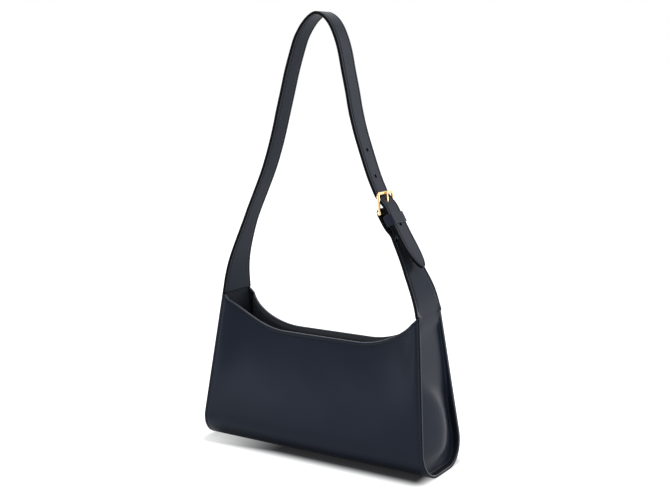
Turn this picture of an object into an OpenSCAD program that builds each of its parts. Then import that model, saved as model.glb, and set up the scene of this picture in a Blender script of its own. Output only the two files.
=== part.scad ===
// Shoulder bag: a scooped, flat-sided leather bag with recessed ends and a buckled strap.
// Origin: middle of the base, on the surface it stands on. +X to the buckle side, +Y to the back.

/* [Bag] */
// Length along the base
bag_l = 250; // [200:1:300]
// Share of the base's length that the top takes, from corner to corner
top_share = 0.872; // [0.72:0.002:1]
// Height of the top corners
panel_h = 147; // [125:1:175]
// Depth at the base
bag_d = 75; // [60:1:90]
// Depth at the top corners
top_d = 43; // [36:1:52]
// Radius of the long edges of the base
base_r = 25.5; // [16:0.5:28]
// Height of the mouth at its lowest
mouth_z = 114; // [100:1:122]
// How far each side bows in at the middle of the mouth
mouth_bow = 12.5; // [0:0.5:14]
// How far the ends are set back inside the cut edges
rim = 5; // [3:0.5:8]
// Radius that the ends swell to
end_swell_r = 150; // [110:5:300]

/* [Materials] */
// Thickness of the leather
leather_t = 1.3; // [1:0.1:1.6]
// Thickness of the lining
lining_t = 0.6; // [0.4:0.1:0.9]
// Thickness of the stiffener inside each side
stiffener_t = 0.8; // [0.5:0.1:1.2]
// Thickness of the base board
board_t = 1.6; // [1:0.1:2.2]
// Gap left between layers that lie on each other
ply_gap = 0.15; // [0.1:0.05:0.25]

/* [Inside] */
// Depth of the leather facing below the mouth
facing_h = 30; // [22:1:40]
// Width of the slip pocket
pocket_w = 120; // [80:1:140]
// Height of the slip pocket
pocket_h = 52; // [35:1:58]
// Diameter of the magnetic snap
snap_d = 18; // [12:1:20]
// Thickness of each half of the snap
snap_t = 2.4; // [1.6:0.2:3]

/* [Strap] */
// Width of the strap
strap_w = 22; // [18:0.5:24]
// Height of the top of the strap above the ground
strap_z = 415; // [370:1:480]
// Distance between two holes
hole_pitch = 25; // [20:1:30]
// Diameter of the holes
hole_d = 3.5; // [3:0.1:4.5]
// Length of the strap's tail below the buckle
tail_l = 60; // [45:1:70]
// Length over which each strap root bends
flex_l = 36; // [30:1:44]

/* [Buckle] */
// Width of the buckle frame
buckle_w = 28.5; // [27:0.5:34]
// Distance from the hinge bar to the front bar
buckle_l = 17.5; // [16:0.5:20]
// Diameter of the hinge bar
bar_d = 3; // [2.4:0.1:3.2]
// Width of the frame's rail
rail_w = 2.8; // [2.6:0.1:3.8]
// Thickness of the frame's rail
rail_t = 2.2; // [1.8:0.1:2.6]
// Height of the keeper loop along the strap
keeper_h = 10; // [8:0.5:11]

/* [Hidden] */

$fn = 48;
leather = "#2d313b";
leather_dark = "#23262e";
cloth = "#3a3a40";
brass = "#d9b46a";

// Counts and shares that shape the curves
arc_steps = 8;
seam_step = 4;
panel_rows = 7;
wall_stations = 24;
flat_share = 0.35;
bow_power = 8;

half_l = bag_l / 2;
half_top = top_share * half_l;
end_lean = atan2(half_l - half_top, panel_h);
base_c = bag_d / 2 - base_r;
top_y = top_d / 2;
lean = asin(base_r / norm([top_y - base_c, panel_h - base_r])) - atan2(top_y - base_c, panel_h - base_r);
cut = 2 * rim;

// Depths of the layers below the outer face
stiffener_off = leather_t + 2 * ply_gap;
facing_off = stiffener_off + stiffener_t + 2 * ply_gap;
lining_off = leather_t + board_t + 2 * ply_gap;
pocket_off = lining_off + lining_t + ply_gap;
end_off = leather_t + ply_gap;
end_x = rim + leather_t + ply_gap;

// Share of the half length at which the sides meet the recessed ends
corner_share = 1 - (end_x + leather_t) / half_top;

// Half the bag's length at height z
function end_at(z) = half_l - (half_l - half_top) * z / panel_h;

// Height of the mouth's edge at a share u of the half length
function mouth_at(u) =
    mouth_z + (panel_h - mouth_z) * pow(max(0, abs(u) - flat_share) / (1 - flat_share), 2);

// Height where the side leaves the base's round, off below the outer face
function tangent_z(off) = base_r + (base_r - off) * sin(lean);

// Distance from the middle to the side at height z, before it bows
function side_y(off, z) = base_c + ((base_r - off) - (z - base_r) * sin(lean)) / cos(lean);

// How far the side bows in at share u and height z
function bow_at(u, z) =
    let (w = min(1, abs(u) / corner_share),
         v = max(0, z - tangent_z(0)) / (mouth_at(u) - tangent_z(0)))
    mouth_bow * (1 - pow(w, bow_power)) * v * v;

// Round of the base, from straight down to the side, as [y, z]
function round_points(off, from = 0, to = arc_steps) =
    [for (i = [from : to]) let (a = (90 + lean) * i / arc_steps)
        [base_c + (base_r - off) * sin(a), base_r - (base_r - off) * cos(a)]];

// The side from its tangent up to z_top, as [y, z]
function side_points(off, u, z_low, z_top) =
    [for (i = [1 : panel_rows]) let (z = z_low + (z_top - z_low) * i / panel_rows)
        [side_y(off, z) - bow_at(u, z), z]];

function flip(points) = [for (p = points) [-p[0], p[1]]];
function backwards(points) = [for (i = [len(points) - 1 : -1 : 0]) points[i]];

// Half section of the shell from one step of the round up to the mouth, less drop
function half_section(off, u, from, drop) = concat(
    round_points(off, from),
    side_points(off, u, tangent_z(off), mouth_at(u) - drop));

// Sheet between two lists of section points, swept along the bag.
// Each station's section is a closed ring, and the ends are closed by the rings themselves.
module swept_shell(rings) {
    n = len(rings[0]);
    m = len(rings);
    points = [for (ring = rings) for (p = ring) p];
    sides = [for (i = [0 : m - 2]) for (j = [0 : n - 1]) let (k = (j + 1) % n)
        each [[i * n + j, (i + 1) * n + k, i * n + k], [i * n + j, (i + 1) * n + j, (i + 1) * n + k]]];
    half = n / 2;
    caps = [for (j = [0 : half - 2]) let (b = n - 1 - j)
        each [
            [j, j + 1, b], [j + 1, b - 1, b],
            [(m - 1) * n + j, (m - 1) * n + b, (m - 1) * n + j + 1],
            [(m - 1) * n + j + 1, (m - 1) * n + b, (m - 1) * n + b - 1]
        ]];
    polyhedron(points = points, faces = concat(sides, caps), convexity = 8);
}

// Shares of the half length at which sections are taken, closer together near the ends
function stations(reach) =
    let (m = wall_stations / 2,
         all = concat([for (i = [0 : m - 1]) corner_share * sin(90 * i / m)], [corner_share, 1]),
         half = concat([for (u = all) if (u < reach - 0.25 / m) u], [reach]))
    concat([for (i = [len(half) - 1 : -1 : 1]) -half[i]], half);

// Ring in space from outer and inner section points
function ring_at(outer, inner, u) =
    [for (p = concat(outer, backwards(inner))) [u * end_at(p[1]), p[0], p[1]]];

module front_wrap() color(leather)
    swept_shell([for (u = stations(1)) ring_at(wrap_section(0, u), wrap_section(leather_t, u), u)]);

// Section from the front of the mouth, down, under the base and up to the seam
function wrap_section(off, u) =
    concat(backwards(flip(half_section(off, u, 0, 0))), round_points(off, 0, seam_step));

module back_panel() color(leather) {
    gap_angle = 180 * ply_gap / (PI * base_r);
    turn = (90 + lean) / arc_steps;
    start = seam_step * turn + gap_angle;
    swept_shell([for (u = stations(1))
        ring_at(back_section(0, u, start), back_section(leather_t, u, start), u)]);
}

// Section of the back from just above the seam to the mouth
function back_section(off, u, start) = concat(
    [[base_c + (base_r - off) * sin(start), base_r - (base_r - off) * cos(start)]],
    half_section(off, u, seam_step + 1, 0));

// Sheet on one side wall, from z_low or else from low below its top; side is -1 in front, 1 behind
module side_sheet(side, off, t, reach, z_low, low, drop) {
    swept_shell([for (u = stations(reach)) let (top = mouth_at(u) - drop, z0 = z_low > 0 ? z_low : top - low)
        ring_at(sheet_points(side, off, u, z0, top), sheet_points(side, off + t, u, z0, top), side * u)]);
}

function sheet_points(side, off, u, z0, z1) =
    [for (i = [0 : panel_rows]) let (z = z0 + (z1 - z0) * i / panel_rows)
        [side * (side_y(off, z) - bow_at(u, z)), z]];

// How far in from the ends the inner layers stop, as a share of the half length
inner_reach = corner_share;
lining_reach = 1 - (end_x + 2 * leather_t + lining_t + 2 * ply_gap) / half_top;
// The stiffener stops short of the stitched edges
stiffener_drop = 7;
stiffener_low = base_r + 6;

module front_stiffener() color("dimgray")
    side_sheet(-1, stiffener_off, stiffener_t, inner_reach, stiffener_low, 0, stiffener_drop);

module back_stiffener() color("dimgray")
    side_sheet(1, stiffener_off, stiffener_t, inner_reach, stiffener_low, 0, stiffener_drop);

module front_facing() color(leather_dark)
    side_sheet(-1, facing_off, leather_t, inner_reach, 0, facing_h, 0);

module back_facing() color(leather_dark)
    side_sheet(1, facing_off, leather_t, inner_reach, 0, facing_h, 0);

// Textile lining, down the front, over the base board and up the back, below the facings
module lining_wrap() color(cloth)
    swept_shell([for (u = stations(lining_reach))
        ring_at(lining_section(lining_off, u), lining_section(lining_off + lining_t, u), u)]);

function lining_section(off, u) =
    let (half = half_section(off, u, 0, facing_h + ply_gap)) concat(backwards(flip(half)), half);

// Open-topped pocket on the back lining
pocket_low = base_r + 6;
module slip_pocket() color(cloth)
    swept_shell([for (u = stations(pocket_w / bag_l))
        ring_at(
            sheet_points(1, pocket_off, u, pocket_low, pocket_low + pocket_h),
            sheet_points(1, pocket_off + lining_t, u, pocket_low, pocket_low + pocket_h), u)]);

module base_board() color("dimgray")
    translate([0, 0, leather_t + ply_gap])
        linear_extrude(board_t)
            rounded_slab(bag_l * 0.92, 2 * base_c, base_c / 2);

module rounded_slab(l, w, r) {
    square([l - 2 * r, w], center = true);
    square([l, w - 2 * r], center = true);
    for (x = [-1, 1], y = [-1, 1])
        translate([x * (l / 2 - r), y * (w / 2 - r)])
            circle(r);
}

// Ends. Each is a pan of leather whose edge turns out along the sides and the base.

// Prism along X with the bag's section, off below the outer face, up to z_top
module section_prism(off, x0, x1, z_top) {
    half = concat(round_points(off), [[side_y(off, z_top), z_top]]);
    translate([x0, 0, 0])
        rotate([90, 0, 90])
            linear_extrude(x1 - x0)
                polygon(concat(backwards(flip(half)), half));
}

// Places its children in the frame of the leaning right end, whose cut edge is at x = 0
module at_end() translate([half_l, 0, 0]) rotate([0, -end_lean, 0]) children();

end_in = min(half_l, half_top) - 4 * rim;
end_out = max(half_l, half_top);
swell_w = bag_d / 2 - leather_t;
swell_x = -rim - sqrt(end_swell_r * end_swell_r - swell_w * swell_w);

module swell_cylinder(r)
    at_end()
        translate([swell_x, 0, -cut])
            cylinder(r = r, h = 2 * panel_h, $fn = 96);

module end_block(depth)
    at_end()
        translate([-depth, -bag_d, -cut])
            cube([depth, 2 * bag_d, 2 * panel_h]);

module gusset()
    difference() {
        intersection() {
            section_prism(end_off, end_in, end_out, panel_h);
            end_block(rim + 2 * leather_t);
        }
        swell_cylinder(end_swell_r - leather_t);
        difference() {
            section_prism(end_off + leather_t, end_in, end_out + cut, panel_h + cut);
            swell_cylinder(end_swell_r);
        }
    }

module end_lining() {
    r = end_swell_r - leather_t - ply_gap;
    difference() {
        intersection() {
            section_prism(lining_off + lining_t + rim / 2, end_in, end_out, mouth_z);
            end_block(rim + 3 * leather_t);
            swell_cylinder(r);
        }
        swell_cylinder(r - lining_t);
    }
}

module right_gusset() color(leather) gusset();
module left_gusset() color(leather) mirror([1, 0, 0]) gusset();
module right_end_lining() color(cloth) end_lining();
module left_end_lining() color(cloth) mirror([1, 0, 0]) end_lining();

// Magnetic snap, half on each facing
snap_z = mouth_z - 1.1 * snap_d;
snap_off = facing_off + leather_t;
function inner_y(z) = side_y(snap_off, z) - bow_at(0, z);
snap_lean = atan((inner_y(snap_z - snap_d / 2) - inner_y(snap_z + snap_d / 2)) / snap_d);
nub_d = snap_d / 3;

module at_snap()
    translate([0, -inner_y(snap_z), snap_z])
        rotate([-90 - snap_lean, 0, 0])
            translate([0, 0, ply_gap])
                children();

module snap_stud() color(brass)
    at_snap() {
        cylinder(d = snap_d, h = snap_t);
        translate([0, 0, snap_t])
            cylinder(d = nub_d, h = 0.6 * snap_t);
    }

module snap_socket() color(brass)
    mirror([0, 1, 0])
        at_snap()
            difference() {
                cylinder(d = snap_d, h = snap_t);
                translate([0, 0, 0.3 * snap_t])
                    cylinder(d = nub_d + 2 * ply_gap, h = snap_t);
            }

// Strap. It runs up from the left end, over the top and down through the buckle,
// and is drawn as a path in the XZ plane, given as [x, z].
strap_t = 2 * leather_t + ply_gap;
rise = strap_z - strap_t / 2 - panel_h;
flex_top = panel_h + flex_l;
taper_h = 72;
running_gap = 0.2;
root_x = half_top - leather_t;
under_gap = 1.4;

// Place and tilt of the hinge bar, and the strap's steps along the buckle
hinge_share = [0.516, 0.332];
hinge_x = hinge_share[0] * half_l;
hinge_z = panel_h + hinge_share[1] * rise;
strap_tilt = 30;
frame_tilt = 23.5;
base_n = bar_d / 2 + running_gap + strap_t / 2;
tail_n = base_n + strap_t + running_gap;
front_s = buckle_l * cos(frame_tilt);
under_n = buckle_l * sin(frame_tilt) - rail_t / 2 - under_gap - strap_t / 2;
keeper_gap = 1.5 * bar_d;
keeper_end = keeper_gap + keeper_h;
straight_end = keeper_end + 2 * strap_t;

// The strap's course between the root and the buckle, as shares of half the length and of the rise
arch_shares = [
    [-0.818, 0.135], [-0.749, 0.225], [-0.682, 0.300], [-0.606, 0.375], [-0.532, 0.450],
    [-0.473, 0.523], [-0.424, 0.596], [-0.382, 0.668], [-0.342, 0.735], [-0.300, 0.806],
    [-0.251, 0.874], [-0.213, 0.919], [-0.157, 0.959], [-0.096, 0.987], [-0.032, 1.000],
    [0.036, 0.987], [0.090, 0.959], [0.132, 0.919], [0.165, 0.872], [0.195, 0.805],
    [0.227, 0.738], [0.255, 0.671], [0.294, 0.603], [0.342, 0.537], [0.395, 0.469]
];
base_shares = [[0.750, 0.135], [0.711, 0.169]];

function by_share(c) = [c[0] * half_l, panel_h + c[1] * rise];

// Point s along the strap from the hinge bar and n out from it
function by_buckle(s, n) = [
    hinge_x - s * sin(strap_tilt) + n * cos(strap_tilt),
    hinge_z + s * cos(strap_tilt) + n * sin(strap_tilt)
];

// Smooth curve through points, with steps to each span
function smooth(points, steps) =
    let (m = len(points) - 1)
    concat([for (i = [0 : m - 1]) each
        let (a = points[max(0, i - 1)], b = points[i], c = points[i + 1], d = points[min(m, i + 2)])
        [for (k = [0 : steps - 1]) let (t = k / steps)
            (2 * b + (c - a) * t + (2 * a - 5 * b + 4 * c - d) * t * t
            + (3 * b - a - 3 * c + d) * t * t * t) / 2]], [points[m]]);

// Unit vector to the right of the path at point i
function right_of(path, i) =
    let (d = path[min(len(path) - 1, i + 1)] - path[max(0, i - 1)])
    [d[1], -d[0]] / norm(d);

// Band between two offsets to the right of a path
function band(path, from, to) = concat(
    [for (i = [0 : len(path) - 1]) path[i] + from * right_of(path, i)],
    [for (i = [len(path) - 1 : -1 : 0]) path[i] + to * right_of(path, i)]);

// Leather of the given width whose section along the path is a band
module ribbon(path, from, to, width)
    rotate([90, 0, 0])
        linear_extrude(width, center = true)
            polygon(band(path, from, to));

// Step from below the front bar, at 0, to over the hinge bar, at 1
function crossing(share) = under_n + share * (tail_n - under_n);

tail_run = tail_l - straight_end;
strap_path = smooth(concat(
    [[-root_x, panel_h], [-root_x + 0.012 * half_l, panel_h + flex_l / 2]],
    [for (c = arch_shares) by_share(c)],
    [by_buckle(1.7 * buckle_l, crossing(0.3)), by_buckle(1.25 * buckle_l, crossing(0.1)),
    by_buckle(0.9 * buckle_l, crossing(0)), by_buckle(0.55 * buckle_l, crossing(0.45)),
    by_buckle(0.25 * buckle_l, crossing(0.9)), by_buckle(0, tail_n), by_buckle(-keeper_gap, tail_n),
    by_buckle(-keeper_end / 2, tail_n), by_buckle(-straight_end, tail_n)],
    [for (k = [1 : 3]) by_buckle(-straight_end - tail_run * k / 3, tail_n + strap_t * pow(k / 3, 2))]), 3);

// Half width of the strap's roots, full depth at the corners and the strap's own width above
function root_half(z) =
    let (k = max(0, 1 - (z - panel_h) / taper_h))
    strap_w / 2 + (top_y - strap_w / 2) * pow(k, 1.25);

module root_outline() {
    steps = 12;
    heights = concat([for (i = [0 : steps]) panel_h + taper_h * i / steps], [strap_z + cut]);
    side = [for (z = heights) [root_half(z), z]];
    translate([-half_l, 0, 0])
        rotate([90, 0, 90])
            linear_extrude(bag_l)
                polygon(concat(side, backwards(flip(side))));
}

// Roots, where the ends' leather runs on as the strap and bends

// Part of a band between two heights, on one side of the bag
module between(z0, z1, x0, x1)
    intersection() {
        children();
        translate([x0, -bag_d, z0])
            cube([x1 - x0, 2 * bag_d, z1 - z0]);
    }

module root(path)
    intersection() {
        between(panel_h + ply_gap, flex_top - ply_gap / 2, -half_l, half_l) {
            ribbon(path, ply_gap / 2, strap_t / 2, 2 * top_d);
            ribbon(path, -strap_t / 2, -ply_gap / 2, 2 * top_d);
        }
        root_outline();
    }

module left_strap_root() color(leather) root(strap_path);
module right_strap_root() color(leather) root(base_path);

module at_buckle() translate([hinge_x, 0, hinge_z]) rotate([0, -strap_tilt, 0]) children();

// Drawn-out hole that the tongue comes through
slot_s = 0.4 * buckle_l;
slot_l = 3 * hole_d;

module tongue_slot()
    at_buckle()
        translate([crossing(0.6), 0, slot_s])
            rotate([0, 90, 0])
                linear_extrude(2.5 * strap_t, center = true) {
                    square([slot_l - hole_d, hole_d], center = true);
                    for (x = [-1, 1])
                        translate([x * (slot_l - hole_d) / 2, 0])
                            circle(d = hole_d);
                }

// Round holes, at steps along the strap from the tongue's; each is square to the path there
path_lengths = [for (i = 0, l = 0; i < len(strap_path); l = l + norm(strap_path[min(i + 1,
    len(strap_path) - 1)] - strap_path[i]), i = i + 1) l];
function nearest(target, i = 0) =
    i >= len(path_lengths) - 1 || path_lengths[i + 1] > target ? i : nearest(target, i + 1);
function place_at(l) =
    let (i = nearest(l), k = (l - path_lengths[i]) / (path_lengths[i + 1] - path_lengths[i]))
    strap_path[i] + k * (strap_path[i + 1] - strap_path[i]);
prong_z = by_buckle(0.55 * buckle_l, crossing(0.45))[1];
slot_index = search(1, [for (p = strap_path) p[1] < prong_z && p[0] > 0 ? 1 : 0])[0];
slot_length = path_lengths[slot_index];
hole_steps = [-2, -1, 1];

module round_holes()
    for (k = hole_steps) {
        i = nearest(slot_length + k * hole_pitch);
        d = right_of(strap_path, i);
        translate([place_at(slot_length + k * hole_pitch)[0], 0, place_at(slot_length + k * hole_pitch)[1]])
            rotate([0, 90 - atan2(d[1], d[0]), 0])
                cylinder(d = hole_d, h = 2 * strap_t, center = true);
    }

module hole_cutter() {
    tongue_slot();
    round_holes();
}

// Cuts the end of the tail to a half round
module tail_trim() {
    r = strap_w / 2;
    at_buckle()
        rotate([0, 90, 0])
            linear_extrude(4 * tail_n)
                difference() {
                    translate([tail_l - r, -strap_w])
                        square([2 * r, 2 * strap_w]);
                    translate([tail_l - r, 0])
                        circle(r = r);
                }
}

// Left of the middle the strap widens to its root, and right of it the width is even
module strap_ply(from, to)
    difference() {
        union() {
            between(flex_top, strap_z + cut, -half_l, 0)
                intersection() {
                    ribbon(strap_path, from, to, 2 * top_d);
                    root_outline();
                }
            between(0, strap_z + cut, 0, half_l)
                ribbon(strap_path, from, to, strap_w);
        }
        hole_cutter();
        tail_trim();
    }

module strap_outer_ply() color(leather) strap_ply(-strap_t / 2, -ply_gap / 2);
module strap_inner_ply() color(leather) strap_ply(ply_gap / 2, strap_t / 2);

// Base of the strap at the buckle, folded round the hinge bar
fold_steps = 12;
base_path = concat(
    smooth([[root_x, panel_h], [root_x - 0.043 * half_l, panel_h + flex_l / 2],
        by_share(base_shares[0]), by_share(base_shares[1]),
        by_buckle(-straight_end - 3 * strap_t, -0.2 * base_n),
        by_buckle(-straight_end - 1.6 * strap_t, 0.5 * base_n),
        by_buckle(-straight_end, base_n), by_buckle(-keeper_end / 2, base_n)], 4),
    [for (i = [0 : fold_steps]) let (a = 180 * i / fold_steps)
        by_buckle(base_n * sin(a), base_n * cos(a))],
    smooth([by_buckle(-keeper_end / 2, -base_n), by_buckle(-keeper_end - strap_t / 2, -0.78 * base_n),
        by_buckle(-straight_end - 0.2 * strap_t, -0.3 * base_n)], 4));

module tongue_gap()
    at_buckle()
        translate([-tail_n, -tongue_w / 2 - running_gap, -keeper_gap])
            cube([2 * tail_n, tongue_w + 2 * running_gap, 2 * tail_n]);

module base_ply(from, to)
    difference() {
        between(flex_top, strap_z, 0, half_l)
            intersection() {
                ribbon(base_path, from, to, 2 * top_d);
                root_outline();
            }
        tongue_gap();
    }

module buckle_base_outer_ply() color(leather) base_ply(ply_gap / 2, strap_t / 2);
module buckle_base_inner_ply() color(leather) base_ply(-strap_t / 2, -ply_gap / 2);

// Buckle. Its frame is drawn with the hinge bar along Y at the origin and the front bar above it.
module at_frame() at_buckle() rotate([0, frame_tilt, 0]) children();

rail_y = (buckle_w - rail_w) / 2;
corner_r = rail_w;
bevel = 0.25 * rail_t;
tongue_w = 2.4;
tongue_t = 1.6;
eye_t = 0.9;
press_gap = 0.02;

// Section of the rail, with its edges bevelled
module rail_section()
    polygon([
        [-rail_w / 2, -rail_t / 2 + bevel], [-rail_w / 2 + bevel, -rail_t / 2],
        [rail_w / 2 - bevel, -rail_t / 2], [rail_w / 2, -rail_t / 2 + bevel],
        [rail_w / 2, rail_t / 2 - bevel], [rail_w / 2 - bevel, rail_t / 2],
        [-rail_w / 2 + bevel, rail_t / 2], [-rail_w / 2, rail_t / 2 - bevel]
    ]);

// Half of the frame: one side rail, its corner and half of the front bar
module half_frame() {
    turn_z = buckle_l - corner_r;
    translate([0, rail_y, 0])
        rotate([0, 0, 90])
            linear_extrude(turn_z)
                rail_section();
    translate([0, rail_y - corner_r, turn_z])
        rotate([90, 0, 90])
            rotate_extrude(angle = 90)
                translate([corner_r, 0])
                    rail_section();
    translate([0, 0, buckle_l])
        rotate([-90, 0, 0])
            linear_extrude(rail_y - corner_r)
                rotate(90)
                    rail_section();
    translate([0, rail_y - rail_w / 2, 0])
        rotate([-90, 0, 0])
            cylinder(r = bar_d / 2 + eye_t, h = rail_w);
}

module buckle_frame() color(brass)
    at_frame()
        difference() {
            union() {
                half_frame();
                mirror([0, 1, 0]) half_frame();
            }
            rotate([90, 0, 0])
                cylinder(d = bar_d + 2 * press_gap, h = 2 * buckle_w, center = true);
        }

module hinge_bar() color(brass)
    at_frame()
        rotate([90, 0, 0])
            cylinder(d = bar_d, h = buckle_w, center = true);

// Tongue, an eye round the hinge bar and a shank that rests on the front bar
module tongue() color(brass)
    at_frame()
        difference() {
            intersection() {
                rotate([90, 0, 0])
                    linear_extrude(tongue_w, center = true)
                        tongue_side();
                tongue_front();
            }
            rotate([90, 0, 0])
                cylinder(r = bar_d / 2 + ply_gap / 2, h = 2 * tongue_w, center = true);
        }

tip_x = rail_t / 2 + ply_gap;
tip_z = buckle_l + rail_w / 2;
module tongue_side() {
    circle(r = bar_d / 2 + eye_t);
    polygon([
        [-tongue_t / 2, bar_d / 2], [bar_d / 2 + eye_t, 0],
        [tip_x + tongue_t, buckle_l - rail_w / 2], [tip_x + tongue_t, tip_z - tongue_t / 2],
        [tip_x + tongue_t / 2, tip_z], [tip_x, tip_z], [tip_x, buckle_l - rail_w]
    ]);
}

module tongue_front()
    rotate([90, 0, 90])
        linear_extrude(4 * bar_d, center = true)
            polygon([
                [-tongue_w / 2, -2 * bar_d], [tongue_w / 2, -2 * bar_d], [tongue_w / 2, bar_d],
                [tongue_w / 3, tip_z], [-tongue_w / 3, tip_z], [-tongue_w / 2, bar_d]
            ]);

// Keeper loop. Its back passes inside the fold, and its front lies over the tail.
module keeper_loop() color(leather) {
    back_n = -leather_t / 2;
    front_n = tail_n + strap_t / 2 + running_gap + leather_t;
    half_w = strap_w / 2 + running_gap + leather_t;
    at_buckle()
        translate([(front_n + back_n) / 2, 0, -keeper_end])
            linear_extrude(keeper_h)
                difference() {
                    rounded_slab(front_n - back_n, 2 * half_w, leather_t);
                    square([front_n - back_n - 2 * leather_t, 2 * (half_w - leather_t)], center = true);
                }
}

front_wrap();
back_panel();
front_stiffener();
back_stiffener();
base_board();
front_facing();
back_facing();
lining_wrap();
slip_pocket();
left_gusset();
right_gusset();
left_end_lining();
right_end_lining();
snap_stud();
snap_socket();
left_strap_root();
right_strap_root();
strap_outer_ply();
strap_inner_ply();
buckle_base_outer_ply();
buckle_base_inner_ply();
buckle_frame();
hinge_bar();
tongue();
keeper_loop();
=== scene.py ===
"""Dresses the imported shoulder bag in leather, painted edges, stitching and polished fittings."""

import logging
import math
from dataclasses import dataclass, field
from enum import IntEnum
from typing import Any, Optional, Sequence

import bmesh
import bpy
import numpy as np
from mathutils import Matrix, Vector


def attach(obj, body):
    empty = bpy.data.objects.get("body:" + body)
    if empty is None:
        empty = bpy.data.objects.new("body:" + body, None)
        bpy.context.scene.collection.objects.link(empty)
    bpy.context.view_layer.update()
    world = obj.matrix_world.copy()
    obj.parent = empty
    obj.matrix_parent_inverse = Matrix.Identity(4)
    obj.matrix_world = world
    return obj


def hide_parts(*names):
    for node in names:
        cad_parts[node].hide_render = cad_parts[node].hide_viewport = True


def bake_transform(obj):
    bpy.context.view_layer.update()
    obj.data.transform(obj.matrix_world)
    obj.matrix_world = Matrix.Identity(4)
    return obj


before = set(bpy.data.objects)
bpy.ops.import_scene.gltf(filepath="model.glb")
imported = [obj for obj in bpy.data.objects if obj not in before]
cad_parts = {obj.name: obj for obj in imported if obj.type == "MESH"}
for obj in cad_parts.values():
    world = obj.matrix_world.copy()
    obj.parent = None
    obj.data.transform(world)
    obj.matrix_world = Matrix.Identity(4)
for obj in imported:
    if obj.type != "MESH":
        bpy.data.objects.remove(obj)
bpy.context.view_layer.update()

log = logging.getLogger("shoulder_bag")

MM = 0.001
Points = np.ndarray


class Side(IntEnum):
    """The bag's two long sides, as the sign of their y."""

    FRONT = -1
    BACK = 1


class End(IntEnum):
    """The bag's two ends, as the sign of their x."""

    LEFT = -1
    RIGHT = 1


def smooth_step(t: Points) -> Points:
    """Eases from 0 to 1 as t goes from 0 to 1, and stays at the ends' values outside."""
    t = np.clip(t, 0.0, 1.0)
    return t * t * (3.0 - 2.0 * t)


def smooth_curve(points: Points, steps: int) -> Points:
    """Runs a Catmull-Rom curve through points.

    Args:
        points: The points that the curve passes, one to a row.
        steps: Steps from each point to the next.

    Returns:
        The curve's points, with the first and last ones kept.
    """
    last = len(points) - 1
    out: list[Points] = []
    for i in range(last):
        a, b = points[max(0, i - 1)], points[i]
        c, d = points[i + 1], points[min(last, i + 2)]
        for k in range(steps):
            t = k / steps
            out.append(0.5 * (2 * b + (c - a) * t + (2 * a - 5 * b + 4 * c - d) * t ** 2
                              + (3 * b - a - 3 * c + d) * t ** 3))
    out.append(points[last])
    return np.array(out)


def spread(length: float, step: float, fine: Sequence[float]) -> Points:
    """Places along a length, closer together near both ends.

    Args:
        length: The whole length, in metres.
        step: The usual distance between places in the middle.
        fine: Distances from each end that also get a place, the last one the largest.

    Returns:
        The places, from 0 to length.
    """
    near = np.array(fine)
    count = max(1, round((length - 2 * near[-1]) / step))
    middle = np.linspace(near[-1], length - near[-1], count + 1)
    return np.concatenate([near[:-1], middle, (length - near[:-1])[::-1]])


@dataclass(frozen=True)
class BagSizes:
    """The bag's own sizes, in metres, the same as in its CAD source."""

    length: float = 250 * MM
    top_length: float = 218 * MM
    height: float = 147 * MM
    depth: float = 75 * MM
    top_depth: float = 43 * MM
    base_radius: float = 25.5 * MM
    mouth_z: float = 114 * MM
    mouth_bow: float = 12.5 * MM
    bow_power: float = 8.0
    flat_share: float = 0.35
    rim: float = 5 * MM
    leather: float = 1.3 * MM
    lining: float = 0.6 * MM
    lining_off: float = 3.2 * MM
    stiffener: float = 0.8 * MM
    ply_gap: float = 0.15 * MM
    facing_height: float = 30 * MM
    pocket_width: float = 120 * MM
    pocket_height: float = 52 * MM
    strap_width: float = 22 * MM
    strap_z: float = 415 * MM
    flex: float = 36 * MM
    hole: float = 3.5 * MM
    hole_pitch: float = 25 * MM
    tail: float = 60 * MM
    buckle_width: float = 28.5 * MM
    buckle_length: float = 17.5 * MM
    bar: float = 3 * MM
    tongue_width: float = 2.4 * MM
    rail_width: float = 2.8 * MM
    rail_thickness: float = 2.2 * MM
    keeper_height: float = 10 * MM
    seam_turn: float = 0.5

    @property
    def half(self) -> float:
        """Half the length at the base."""
        return self.length / 2

    @property
    def half_top(self) -> float:
        """Half the length at the top corners."""
        return self.top_length / 2

    @property
    def base_c(self) -> float:
        """Half the width of the flat strip that the bag stands on."""
        return self.depth / 2 - self.base_radius

    @property
    def top_y(self) -> float:
        """Half the depth at the top corners."""
        return self.top_depth / 2

    @property
    def lean(self) -> float:
        """Angle by which the sides lean in, in radians."""
        across, up = self.top_y - self.base_c, self.height - self.base_radius
        return math.asin(self.base_radius / math.hypot(across, up)) - math.atan2(across, up)

    @property
    def strap_thickness(self) -> float:
        """Thickness of the two plies together."""
        return 2 * self.leather + self.ply_gap

    @property
    def facing_off(self) -> float:
        """Depth of the facing's outer side below the bag's outer face."""
        return self.leather + self.stiffener + 4 * self.ply_gap

    @property
    def corner_share(self) -> float:
        """Share of the half length past which the sides don't bow in."""
        return 1 - (self.rim + 2 * self.leather + self.ply_gap) / self.half_top


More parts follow.
